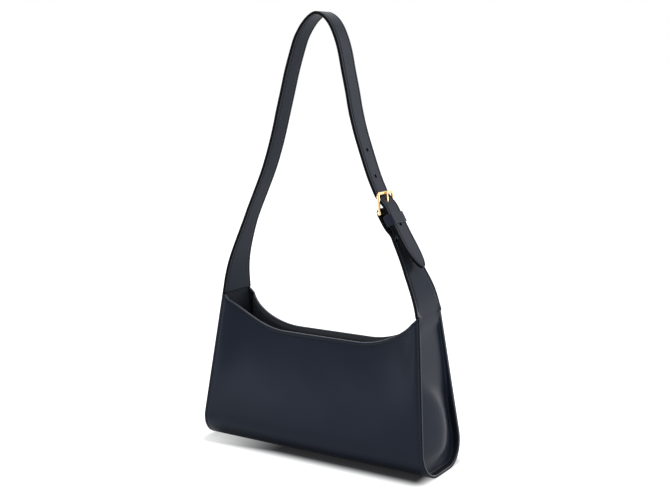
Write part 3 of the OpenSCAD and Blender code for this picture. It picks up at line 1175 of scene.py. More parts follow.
    def sew(self) -> None:
        """Makes the stitches of the mouth, the rims and the back seam."""
        s, inset = self.size, self.stitched.inset
        depths = (self.stitched.bed, s.leather)
        reach = s.corner_share - self.stitches_short
        for side in Side:
            self.row(f"{side.name.lower()}_mouth_stitches",
                     *(self.line(side, inset, depth, reach) for depth in depths))
        for end in End:
            self.row(f"{end.name.lower()}_rim_stitches",
                     *(self.rim_line(end, inset, depth) for depth in depths))
        u = np.linspace(-1, 1, 80) * (1 - self.seam_ends * inset / s.half)
        turn = s.seam_turn + (inset + self.seam_gap / 2) / self.arc
        self.row("back_seam_stitches", *(self.shape.round(depth, u, turn, Side.BACK) for depth in depths))

    def paint(self) -> None:
        """Makes the painted edges of the rims and of the mouth."""
        s = self.size
        near, far = self.paint_inset, s.strap_thickness - self.paint_inset
        between = s.leather + s.ply_gap + self.lip
        for end in End:
            deep, middle, shallow = (self.rim_line(end, 0.0, off) for off in (far, between, near))
            out = np.broadcast_to([end * math.cos(self.lean_out), 0.0, math.sin(self.lean_out)], deep.shape)
            beads = Pattern()
            bead(beads, deep, middle, out, self.paint_proud, 1)
            # The lip's bead takes the lip paint, painted lighter than the leather as a painted highlight.
            bead(beads, middle, shallow, out, self.lip_share * self.paint_proud, 0)
            self.dresser.seat(f"{end.name.lower()}_rim_paint", beads, ("edge_paint", "lip_paint_painted_highlight"),
                              "leather", "bag")
        for side in Side:
            low, high = (self.line(side, 0.0, off, s.corner_share + self.paint_past) for off in (far, near))
            beads = Pattern()
            bead(beads, low, high, np.broadcast_to([0.0, 0.0, 1.0], low.shape), self.paint_proud)
            self.dresser.seat(f"{side.name.lower()}_mouth_paint", beads, ("mouth_paint",), "leather", "bag")

    @property
    def lean_out(self) -> float:
        """Angle by which the ends lean in, in radians."""
        return math.atan2(self.size.half - self.size.half_top, self.size.height)


@dataclass
class Inside:
    """Facings, lining and pocket, and what stiffens the leather.

    The facing closes up to the leather over its taper. The pocket's rim droops, and gapes by a share of that.
    """

    dresser: Dresser
    size: BagSizes
    shape: BagShape
    taper: float = 6 * MM
    pocket_above: float = 6 * MM
    droop: float = 1.5 * MM
    gape: float = 0.6

    def build(self) -> None:
        """Makes the inner sheets and seats them."""
        for side in Side:
            name = f"{side.name.lower()}_facing"
            sheet = Pattern().slab(self.facing(side, self.size.leather), self.facing(side, 0.0), 1, 0)
            self.dresser.seat(f"{name}_leather", sheet, ("facing", "edge_paint"), "facing_leather",
                              "bag", name)
        s = self.size
        cloth = Pattern().slab(self.section(s.lining_off), self.section(s.lining_off + s.lining))
        self.dresser.seat("lining_cloth", cloth, ("twill",), "lining", "bag", "lining_wrap")
        off = s.lining_off + s.lining + s.ply_gap
        pocket = Pattern().slab(self.pocket(off), self.pocket(off + s.lining))
        self.dresser.seat("pocket_cloth", pocket, ("twill",), "lining", "bag", "slip_pocket")
        for node in ("front_stiffener", "back_stiffener", "base_board"):
            self.dresser.finish(node, "fibre_board")
        for node in ("snap_stud", "snap_socket"):
            self.dresser.finish(node, "plate")

    def sheet(self, depth: Points, u: Points, z: Points) -> Points:
        """Grid behind the bag's middle, from depths, a share of the half length by column, and heights."""
        y = self.shape.side_y(depth, z) - self.shape.bow_at(u[None, :], z)
        return np.stack(np.broadcast_arrays(u[None, :] * self.shape.end_at(z), y, z), -1)

    def facing(self, side: Side, off: float) -> Points:
        """Grid of one face of a facing.

        Args:
            side: Which side.
            off: Depth below the facing's outer face.

        Returns:
            Rows by columns by 3, from the mouth down.
        """
        s = self.size
        u = np.linspace(-s.corner_share, s.corner_share, 61)
        below = s.facing_height * np.linspace(0, 1, 40)[:, None]
        opening = (s.facing_off - s.leather - s.ply_gap) * smooth_step(below / self.taper)
        depth = s.leather + s.ply_gap + opening + off
        return self.sheet(depth, u, self.shape.mouth_at(u)[None, :] - below) * (1, side, 1)

    def section(self, off: float) -> Points:
        """Grid of one face of the lining, down the front, over the base and up the back.

        Args:
            off: Depth below the outer face.

        Returns:
            Rows by columns by 3.
        """
        s, shape = self.size, self.shape
        reach = 1 - (s.rim + 5 * s.leather) / s.half_top
        u = np.linspace(-reach, reach, 61)[None, :]
        v = np.linspace(1, 0, 26)[:, None]
        turns = np.linspace(1, 0, 12)[1:, None]
        shares = np.linspace(-1, 1, 5)[1:, None]
        drop = s.facing_height + s.ply_gap
        return np.concatenate([
            shape.wall(off, u, v, Side.FRONT, drop), shape.round(off, u, turns, Side.FRONT),
            shape.flat(off, u, shares), shape.round(off, u, turns[::-1], Side.BACK)[1:],
            shape.wall(off, u, v[::-1], Side.BACK, drop)])

    def pocket(self, off: float) -> Points:
        """Grid of one face of the pocket.

        Args:
            off: Depth below the outer face.

        Returns:
            Rows by columns by 3, from the rim down.
        """
        s = self.size
        u = np.linspace(-1, 1, 41) * s.pocket_width / s.length
        rise = np.linspace(1, 0, 20)[:, None]
        z = s.base_radius + self.pocket_above + s.pocket_height * rise
        droop = self.droop * (1 - (u[None, :] / u[-1]) ** 2) * rise ** 3
        return self.sheet(off + self.gape * droop, u, z) - droop[..., None] * (0, 0, 1)


@dataclass(frozen=True)
class StrapCourse:
    """Where the strap, its folded base and the buckle run, in the XZ plane.

    The strap crosses the buckle at places that are shares of its length, stepping from under it
    to over it. The left and the right root lean in by shares of the half length.
    """

    size: BagSizes
    taper: float = 72 * MM
    taper_power: float = 1.25
    running_gap: float = 0.2 * MM
    under_gap: float = 1.4 * MM
    lead: float = 12 * MM
    strap_tilt: float = math.radians(30)
    frame_tilt: float = math.radians(23.5)
    hinge_share: tuple[float, float] = (0.516, 0.332)
    arch_shares: tuple[tuple[float, float], ...] = (
        (-0.818, 0.135), (-0.749, 0.225), (-0.682, 0.300), (-0.606, 0.375), (-0.532, 0.450),
        (-0.473, 0.523), (-0.424, 0.596), (-0.382, 0.668), (-0.342, 0.735), (-0.300, 0.806),
        (-0.251, 0.874), (-0.213, 0.919), (-0.157, 0.959), (-0.096, 0.987), (-0.032, 1.000),
        (0.036, 0.987), (0.090, 0.959), (0.132, 0.919), (0.165, 0.872), (0.195, 0.805),
        (0.227, 0.738), (0.255, 0.671), (0.294, 0.603), (0.342, 0.537), (0.395, 0.469))
    base_shares: tuple[tuple[float, float], ...] = ((0.750, 0.135), (0.711, 0.169))
    crossings: tuple[tuple[float, float], ...] = (
        (1.7, 0.3), (1.25, 0.1), (0.9, 0.0), (0.55, 0.45), (0.25, 0.9))
    root_leans: tuple[float, float] = (0.012, 0.043)

    @property
    def rise(self) -> float:
        """Height of the arch's middle line above the top corners."""
        return self.size.strap_z - self.size.strap_thickness / 2 - self.size.height

    @property
    def root_x(self) -> float:
        """Distance of the roots' middle line from the bag's middle."""
        return self.size.half_top - self.size.leather

    @property
    def hinge(self) -> Points:
        """The hinge bar's place, as x and z."""
        return self.by_share(self.hinge_share)

    @property
    def base_n(self) -> float:
        """Distance from the hinge bar to the middle line of the leather folded round it."""
        return self.size.bar / 2 + self.running_gap + self.size.strap_thickness / 2

    @property
    def tail_n(self) -> float:
        """Distance from the hinge bar to the middle line of the strap that lies over the fold."""
        return self.base_n + self.size.strap_thickness + self.running_gap

    @property
    def under_n(self) -> float:
        """Distance out from the hinge bar of the strap's middle line under the front bar."""
        s = self.size
        return (s.buckle_length * math.sin(self.frame_tilt) - s.rail_thickness / 2 - self.under_gap
                - s.strap_thickness / 2)

    @property
    def keeper_gap(self) -> float:
        """Distance from the hinge bar to the keeper."""
        return 1.5 * self.size.bar

    @property
    def keeper_end(self) -> float:
        """Distance from the hinge bar to the keeper's far side."""
        return self.keeper_gap + self.size.keeper_height

    @property
    def straight_end(self) -> float:
        """Distance from the hinge bar to where strap and base part."""
        return self.keeper_end + 2 * self.size.strap_thickness

    def by_share(self, share: Sequence[float]) -> Points:
        """Point at shares of half the length and of the rise."""
        return np.array([share[0] * self.size.half, self.size.height + share[1] * self.rise])

    def by_buckle(self, along: float, out: float) -> Points:
        """Point at a distance from the hinge bar.

        Args:
            along: Distance along the strap.
            out: Distance out from it.

        Returns:
            The point, as x and z.
        """
        x, z = self.hinge
        sine, cosine = math.sin(self.strap_tilt), math.cos(self.strap_tilt)
        return np.array([x - along * sine + out * cosine, z + along * cosine + out * sine])

    def crossing(self, share: float) -> float:
        """Step from below the front bar, at 0, to over the hinge bar, at 1."""
        return self.under_n + share * (self.tail_n - self.under_n)

    def below_root(self, end: End) -> Points:
        """Point below a root, in line with the bag's end."""
        x = self.root_x + self.lead * (self.size.half - self.size.half_top) / self.size.height
        return np.array([end * x, self.size.height - self.lead])

    def strap_path(self) -> Points:
        """Middle line of the strap from the left root to the tail's tip.

        Returns:
            Its points, as x and z.
        """
        s, b = self.size, self.size.buckle_length
        run = s.tail - self.straight_end
        points = [self.below_root(End.LEFT), np.array([-self.root_x, s.height]),
                  np.array([-self.root_x + self.root_leans[0] * s.half, s.height + s.flex / 2])]
        points += [self.by_share(share) for share in self.arch_shares]
        points += [self.by_buckle(a * b, self.crossing(c)) for a, c in self.crossings]
        points += [self.by_buckle(0.0, self.tail_n), self.by_buckle(-self.keeper_gap, self.tail_n),
                   self.by_buckle(-self.keeper_end / 2, self.tail_n),
                   self.by_buckle(-self.straight_end, self.tail_n)]
        points += [self.by_buckle(-self.straight_end - run * k / 3,
                                  self.tail_n + s.strap_thickness * (k / 3) ** 2) for k in (1, 2, 3)]
        return smooth_curve(np.array(points), 8)

    def base_path(self) -> Points:
        """Middle line of the strap's base, up from the right root and round the hinge bar.

        Returns:
            Its points, as x and z.
        """
        s, t, n = self.size, self.size.strap_thickness, self.base_n
        up = [self.below_root(End.RIGHT), np.array([self.root_x, s.height]),
              np.array([self.root_x - self.root_leans[1] * s.half, s.height + s.flex / 2]),
              self.by_share(self.base_shares[0]), self.by_share(self.base_shares[1]),
              self.by_buckle(-self.straight_end - 3 * t, -0.2 * n),
              self.by_buckle(-self.straight_end - 1.6 * t, 0.5 * n),
              self.by_buckle(-self.straight_end, n), self.by_buckle(-self.keeper_end / 2, n)]
        turn = [self.by_buckle(n * math.sin(a), n * math.cos(a)) for a in np.linspace(0, math.pi, 25)]
        down = [self.by_buckle(-self.keeper_end / 2, -n), self.by_buckle(-self.keeper_end - t / 2, -0.80 * n),
                self.by_buckle(-self.straight_end - 0.2 * t, -0.48 * n),
                self.by_buckle(-self.straight_end - 1.4 * t, -0.38 * n),
                self.by_buckle(-self.straight_end - 2.4 * t, -0.46 * n)]
        return np.concatenate([
            smooth_curve(np.array(up), 8), np.array(turn), smooth_curve(np.array(down), 6)])

    def root_half(self, z: Points) -> Points:
        """Half width of the strap's roots at height z."""
        widening = np.clip(1 - (z - self.size.height) / self.taper, 0.0, 1.0) ** self.taper_power
        return self.size.strap_width / 2 + (self.size.top_y - self.size.strap_width / 2) * widening


@dataclass
class Ribbon:
    """A strap of even thickness along a path, with rounded and stitched edges.

    Places on it are given by the length along it, by y across it, and by the height over its
    middle face, on the side that is seen from outside. A skived end is thinned over a length.
    """

    path: Points
    end: End
    half: Points
    twist: Points
    root_z: float
    pointed: bool = False
    tip_length: float = 26 * MM
    skived: float = 0.0
    thinning: float = 0.8
    along: Points = field(init=False)
    tangent: Points = field(init=False)

    def __post_init__(self) -> None:
        """Measures the path."""
        steps = np.linalg.norm(np.diff(self.path, axis=0), axis=1)
        self.along = np.concatenate([[0.0], np.cumsum(steps)])
        self.along -= self.along[np.argmax(self.path[:, 1] > self.root_z - 0.01 * MM)]
        d = np.gradient(self.path, self.along, axis=0)
        self.tangent = d / np.linalg.norm(d, axis=1, keepdims=True)

    @property
    def length(self) -> float:
        """Whole length along the path."""
        return float(self.along[-1])

    def value(self, places: Points, values: Points) -> Points:
        """Values of the path at lengths along it."""
        return np.interp(places, self.along, values)

    def frame_at(self, places: Points) -> tuple[Points, Points, Points, Points]:
        """The ribbon's frame at lengths along it.

        Args:
            places: Lengths along it.

        Returns:
            Points of the path, and the directions along it, across it and outwards.
        """
        p, t = (np.stack([self.value(places, line[:, 0]), 0 * places, self.value(places, line[:, 1])], -1)
                for line in (self.path, self.tangent))
        t /= np.linalg.norm(t, axis=-1, keepdims=True)
        out = self.end * np.stack([t[..., 2], 0 * places, -t[..., 0]], -1)
        across = np.broadcast_to(np.array([0.0, 1.0, 0.0]), out.shape)
        a = self.value(places, self.twist)[..., None]
        return p, t, across * np.cos(a) + out * np.sin(a), out * np.cos(a) - across * np.sin(a)

    def point(self, places: Points, y: Points, height: Points) -> Points:
        """Points on the ribbon.

        Args:
            places: Lengths along it.
            y: Distances across it from its middle.
            height: Heights over its middle face.

        Returns:
            The points, with x, y and z in the last axis.
        """
        places, y, height = np.broadcast_arrays(places, y, height)
        p, _, across, out = self.frame_at(places)
        if self.skived:
            thinned = self.thinning * smooth_step(1 - (self.length - places) / self.skived)
            height = height * (1 - thinned)
        return p + across * y[..., None] + out * height[..., None]

    def half_at(self, places: Points) -> Points:
        """Half width at lengths along it, with the tip's round."""
        past = np.clip(1 - (self.length - places) / self.tip_length, 0.0, 1.0) * self.pointed
        return self.value(places, self.half) * np.sqrt(1 - past ** 2)

    def edge_distance(self, places: Points, y: Points) -> Points:
        """Distance to the nearest edge.

        Args:
            places: Lengths along it.
            y: Distances across it from its middle.

        Returns:
            The distances, 0 outside.
        """
        half = self.value(places, self.half)
        distance = half - np.abs(y)
        if self.pointed:
            past = np.maximum(0.0, places - (self.length - self.tip_length)) / self.tip_length
            out = np.maximum(np.hypot(past, y / half), 1e-6)
            depth = half + (self.tip_length - half) * (past / out) ** 2
            distance = np.where(past > 0, (1 - out) * depth, distance)
        return np.maximum(0.0, distance)

    def outline(self, start: float, inset: float, stop: Optional[float] = None) -> tuple[Points, Points]:
        """Line along both edges, round the far end, a distance inside them.

        Args:
            start: Length along it where the line starts and ends.
            inset: Distance inside the edge.
            stop: Length along it where the line crosses, if it has no round tip.

        Returns:
            Lengths along it and distances across it.
        """
        if self.pointed:
            straight = np.arange(start, self.length - self.tip_length, 2 * MM)
            turn = np.linspace(-math.pi / 2, math.pi / 2, 41)
            edge = self.value(straight, self.half) - inset
            places = np.concatenate([straight, self.length - self.tip_length
                                     + (self.tip_length - inset) * np.cos(turn), straight[::-1]])
            y = np.concatenate([-edge, edge[-1] * np.sin(turn), edge[::-1]])
            return places, y
        far = self.length if stop is None else stop
        straight = np.append(np.arange(start, far - inset, 1 * MM), far - inset)
        edge = self.value(straight, self.half) - inset
        end = np.linspace(-edge[-1], edge[-1], 9)[1:-1]
        return (np.concatenate([straight, 0 * end + straight[-1], straight[::-1]]),
                np.concatenate([-edge, end, edge[::-1]]))


@dataclass
class EndLeather:
    """Leather of one end: the recessed pan, whose top runs on as the strap's outer ply.

    At each of the levels, shares of the height, the pan's floor has its ridge at a share of the way
    from the middle to the side, its crest as a share of the base's depth, and its fall behind as a
    share of the back's depth.
    """

    size: BagSizes
    shape: BagShape
    ribbon: Ribbon
    stitched: Stitched
    turns: int = 13
    fillet: float = 1.6 * MM
    end_off: float = 1.45 * MM
    levels: tuple[float, ...] = (0.02, 0.12, 0.23, 0.31, 0.40, 0.49, 0.57, 0.68, 0.82, 0.95)
    ridges: tuple[float, ...] = (-0.25, 0.06, 0.25, 0.30, 0.20, -0.12, -0.72, -0.86, -0.86, -0.80)
    crests: tuple[float, ...] = (0.80, 0.16, -0.12, -0.08, 0.04, 0.36, 0.66, 0.72, 0.62, 0.45)
    falls: tuple[float, ...] = (1.0, 1.0, 1.0, 1.0, 0.92, 0.78, 0.62, 0.48, 0.42, 0.42)
    front_depth: float = 4.6 * MM
    back_depth: float = 7.2 * MM
    base_depth: float = 5.5 * MM
    powers: tuple[float, float] = (1.1, 0.85)
    softness: float = 0.03
    foot: float = 3 * MM
    foot_run: float = 20 * MM
    top_run: float = 20 * MM
    top_fine: float = 12 * MM
    top_short: float = 0.5 * MM
    first_row: float = 0.3 * MM
    edge_short: float = 0.05 * MM
    least_half: float = 0.4 * MM
    bend_reach: float = 13 * MM
    # Painted shade: below this height the turned-out edge takes the dark seam finish, over more of its steps
    # the lower it lies within the run.
    shaded_z: float = 84 * MM
    shade_run: float = 35 * MM

    @property
    def end(self) -> End:
        """The bag's end that it closes."""
        return self.ribbon.end

    def across(self, half: Points) -> Points:
        """Places across rows, closer together near both edges.

        Args:
            half: Half width of each row.

        Returns:
            Rows by columns.
        """
        fine = np.array(self.stitched.fine)
        scale = np.minimum(1.0, half / (1.25 * fine[-1]))
        near = fine * scale[..., None]
        left = near - half[..., None]
        middle = (half - near[..., -1])[..., None] * np.linspace(-1, 1, 9)
        return np.concatenate([left[..., :-1], middle, -left[..., ::-1][..., 1:]], -1)

    def top_depth(self, side: float) -> float:
        """Depth below the cut edges at which the strap's face starts at one of its edges."""
        edge = self.ribbon.point(np.array([0.0]), side * self.size.top_y, self.size.strap_thickness / 2)
        return float(self.size.half_top - self.end * edge[0, 0])

    def level(self, z: Points, values: Sequence[float]) -> Points:
        """Values of the swelling at heights, eased between its levels."""
        curve = smooth_curve(np.array([self.levels, values]).T, 8)
        return np.interp(z / self.size.height, curve[:, 0], curve[:, 1])

    def depth(self, share: Points, z: Points) -> Points:
        """Depth of the pan's floor below the cut edges.

        The floor rises from the front to a ridge and falls away behind it, and the ridge wanders
        from the front at the top to past the middle below.

        Args:
            share: Share of the way from the middle to the pan's side, negative in front.
            z: Height.

        Returns:
            The depth.
        """
        s = self.size
        share, z = np.broadcast_arrays(share, z)
        ridge, crest = self.level(z, self.ridges), self.level(z, self.crests) * self.base_depth
        way = share - ridge
        w = np.where(way < 0, way / (1 + ridge), way / (1 - ridge))
        sharp = math.sqrt(self.softness)
        w = (np.sqrt(w * w + self.softness) - sharp) / (math.sqrt(1 + self.softness) - sharp)
        side = np.where(way < 0, self.front_depth, self.back_depth * self.level(z, self.falls))
        swell = crest + (side - crest) * w ** np.where(way < 0, *self.powers)
        pan = self.base_depth + (swell - self.base_depth) * smooth_step((z - self.foot) / self.foot_run)
        flat = (self.top_depth(-1) * (1 - share) + self.top_depth(1) * (1 + share)) / 2
        top = smooth_step((z - (s.height - self.top_run)) / (self.top_run - self.top_short))
        return pan + (flat - pan) * top

    def rows(self) -> tuple[Points, Points]:
        """Rows of the pan at its floor's outer line, from the base up.

        Returns:
            Their half widths and heights.
        """
        s = self.size
        off = self.end_off + s.leather + self.fillet
        a = (math.pi / 2 + s.lean) * np.linspace(0, 1, self.turns)
        y = s.base_c + (s.base_radius - off) * np.sin(a)
        z = s.base_radius - (s.base_radius - off) * np.cos(a)
        fine, top = s.height - self.top_fine, s.height - self.top_short
        z_wall = np.concatenate([np.linspace(z[-1], fine, 30)[1:], np.linspace(fine, top, 10)[1:]])
        return np.concatenate([y, self.shape.side_y(off, z_wall)]), np.concatenate([z, z_wall])

    def floor(self) -> Points:
        """Grid of the pan's floor.

        Returns:
            Rows by columns by 3, from the base up.
        """
        half, z = self.rows()
        y = self.across(half)
        share = y / half[:, None]
        zz = np.broadcast_to(z[:, None], y.shape)
        x = self.end * (self.shape.end_at(zz) - self.depth(share, zz))
        return np.stack([x, y, zz], -1)

    def strip(self, floor: Points) -> Points:
        """Grid of the turned-out edge round the pan, from the floor's outer line to the cut edge.

        Args:
            floor: The floor's grid.

        Returns:
            Stations by steps by 3, from the top in front, down, along the base and up behind.
        """
        s = self.size
        ring = np.concatenate([floor[::-1, 0], floor[0, 1:-1], floor[:, -1]])
        rows, columns = floor.shape[:2]
        shares = np.concatenate([np.linspace(0, 1, self.turns), np.ones(rows - self.turns)])
        turn = (math.pi / 2 + s.lean) * shares
        normal_side = np.stack([np.sin(turn), -np.cos(turn)], -1)
        normal = np.concatenate([
            (normal_side * [-1, 1])[::-1], np.tile([0.0, -1.0], (columns - 2, 1)), normal_side])
        depth = self.shape.end_at(ring[:, 2]) - self.end * ring[:, 0]
        reach = np.sign(depth) * np.minimum(self.fillet, np.abs(depth) * 0.7)
        out = [(self.fillet * math.sin(a), depth - reach * (1 - math.cos(a)))
               for a in math.pi / 2 * np.arange(1, 6) / 5]
        out += [(self.fillet, out[-1][1] * 0.5), (self.fillet, 0.3 * MM),
                (self.fillet + 0.25 * MM, 0.06 * MM), (self.fillet + s.leather - 0.1 * MM, 0.02 * MM)]
        steps = [ring]
        for moved, deep in out:
            p = ring.copy()
            p[:, 1] = ring[:, 1] + normal[:, 0] * moved
            p[:, 2] = ring[:, 2] + normal[:, 1] * moved
            p[:, 0] = self.end * (self.shape.end_at(p[:, 2]) - deep)
            steps.append(p)
        return np.stack(steps, 1)

    def strap_across(self, places: Points, tucked: Points = 0.0) -> Points:
        """Places across the strap's rows, which are narrower by how far they are tucked in."""
        half = self.ribbon.half_at(places) - tucked - self.edge_short
        return self.across(np.maximum(half, self.least_half))

    def strap_rows(self, places: Points) -> tuple[Points, Points, Points]:
        """Rows of the strap's outer ply.

        Args:
            places: Lengths along the strap.

        Returns:
            Grid of the plain face, how far the leather sinks below it, and where its seams lie.
        """
        s = self.size
        y = self.strap_across(places)
        grid = self.ribbon.point(places[:, None], y, s.strap_thickness / 2)
        distance = self.ribbon.edge_distance(places[:, None], y)
        eased = smooth_step(places / (8 * MM))[:, None]
        return grid, self.stitched.sink(distance) * eased, self.stitched.seam(distance) & (eased > 0.3)

    def places(self) -> Points:
        """Lengths along the strap at which it has rows, closer together where it bends and at its tip.

        Returns:
            The lengths.
        """
        r = self.ribbon
        if not r.pointed:
            return np.arange(self.first_row, r.length + 0.1 * MM, 1 * MM)
        straight = np.arange(self.first_row, r.length - r.tip_length, 2 * MM)
        tip = r.length - r.tip_length + (r.tip_length - 0.15 * MM) * np.sin(np.linspace(0, math.pi / 2, 20))
        return np.concatenate([straight, tip])

    def eased(self, grid: Points) -> Points:
        """Rounds the bend between the pan and the strap, away from their edges.

        Args:
            grid: Grid of both.

        Returns:
            The grid with its rows near the bend moved.
        """
        grid = grid.copy()
        weight = np.clip(1 - np.abs(grid[..., 2] - self.size.height) / self.bend_reach, 0, 1)
        weight *= smooth_step((self.size.top_y - 1 * MM - np.abs(grid[..., 1])) / (5 * MM))
        for _ in range(60):
            low, high = grid[:-2], grid[2:]
            share = (grid[1:-1, :, 2] - low[..., 2]) / (high[..., 2] - low[..., 2] + 1e-9)
            between = low[..., 0] + (high[..., 0] - low[..., 0]) * np.clip(share, 0, 1)
            grid[1:-1, :, 0] += (between - grid[1:-1, :, 0]) * 0.8 * weight[1:-1]
        return grid

    def pattern(self) -> Pattern:
        """Cuts the pan and the strap's outer ply in one piece.

        Returns:
            The pattern, with finishes 0 outside, 1 on cut edges, 2 inside and 3 in seams, and 3 also as
            painted shade on the turned-out edge low down.
        """
        floor = self.floor()
        strap, sink, seams = self.strap_rows(self.places())
        grid = self.eased(np.concatenate([floor, strap]))
        sinks = np.concatenate([np.zeros(floor.shape[:2]), sink])
        seams = np.concatenate([np.zeros(floor.shape[:2], bool), seams])
        strip = self.strip(floor)
        rows, columns = grid.shape[:2]
        points = np.concatenate([grid.reshape(-1, 3), strip[:, 1:].reshape(-1, 3)])
        n, low, steps = rows * columns, len(floor), strip.shape[1] - 1
        ring = np.array([(low - 1 - i) * columns for i in range(low)] + list(range(1, columns - 1))
                        + [i * columns + columns - 1 for i in range(low)])
        index = np.column_stack([ring, n + np.arange(len(ring) * steps).reshape(-1, steps)])
        rim = [tuple(int(index[i + a, k + b]) for a, b in ((0, 0), (0, 1), (1, 1), (1, 0)))
               for i in range(len(ring) - 1) for k in range(steps)]
        faces = grid_faces(rows, columns) + rim
        if self.end == End.LEFT:
            faces = [f[::-1] for f in faces]
        sunk = np.concatenate([sinks.reshape(-1), np.zeros(len(points) - n)])
        pattern = thickened(points, faces, sunk, self.size.leather)
        pattern.dress(0, seams, 3)
        # Painted shade: the turned-out edge's faces low down take the dark seam finish, more of their steps
        # the lower they lie.
        for i in range(len(rim)):
            face = len(faces) - len(rim) + i
            shade = np.clip((self.shaded_z - points[faces[face][0], 2]) / self.shade_run, 0, 1)
            if i % steps < (steps - 2) * shade:
                pattern.finishes[face] = 3
        return pattern


def thickened(points: Points, faces: Sequence[tuple[int, ...]], sink: Points, thickness: float) -> Pattern:
    """Gives a sheet its thickness.

    Args:
        points: Points of the plain outer face.
        faces: Its faces, seen from outside.
        sink: How far the outer face lies below the plain one at each point.
        thickness: The sheet's thickness.

    Returns:
        A closed pattern, whose finishes are 0 outside, 1 on cut edges and 2 inside.
    """
    normals = np.zeros_like(points)
    quads = np.array(faces)
    cross = np.cross(points[quads[:, 2]] - points[quads[:, 0]], points[quads[:, 3]] - points[quads[:, 1]])
    for k in range(4):
        np.add.at(normals, quads[:, k], cross)
    normals /= np.maximum(np.linalg.norm(normals, axis=1, keepdims=True), 1e-12)
    n = len(points)
    out = Pattern()
    out.add(np.concatenate([points - normals * sink[:, None], points - normals * thickness]), faces, 0)
    out.faces += [tuple(n + i for i in reversed(f)) for f in faces]
    out.finishes += [2] * len(faces)
    seen = {(a, b) for f in faces for a, b in zip(f, f[1:] + f[:1])}
    edge = [(b, a, n + a, n + b) for a, b in seen if (b, a) not in seen]
    out.faces += sorted(edge)
    out.finishes += [1] * len(edge)
    return out


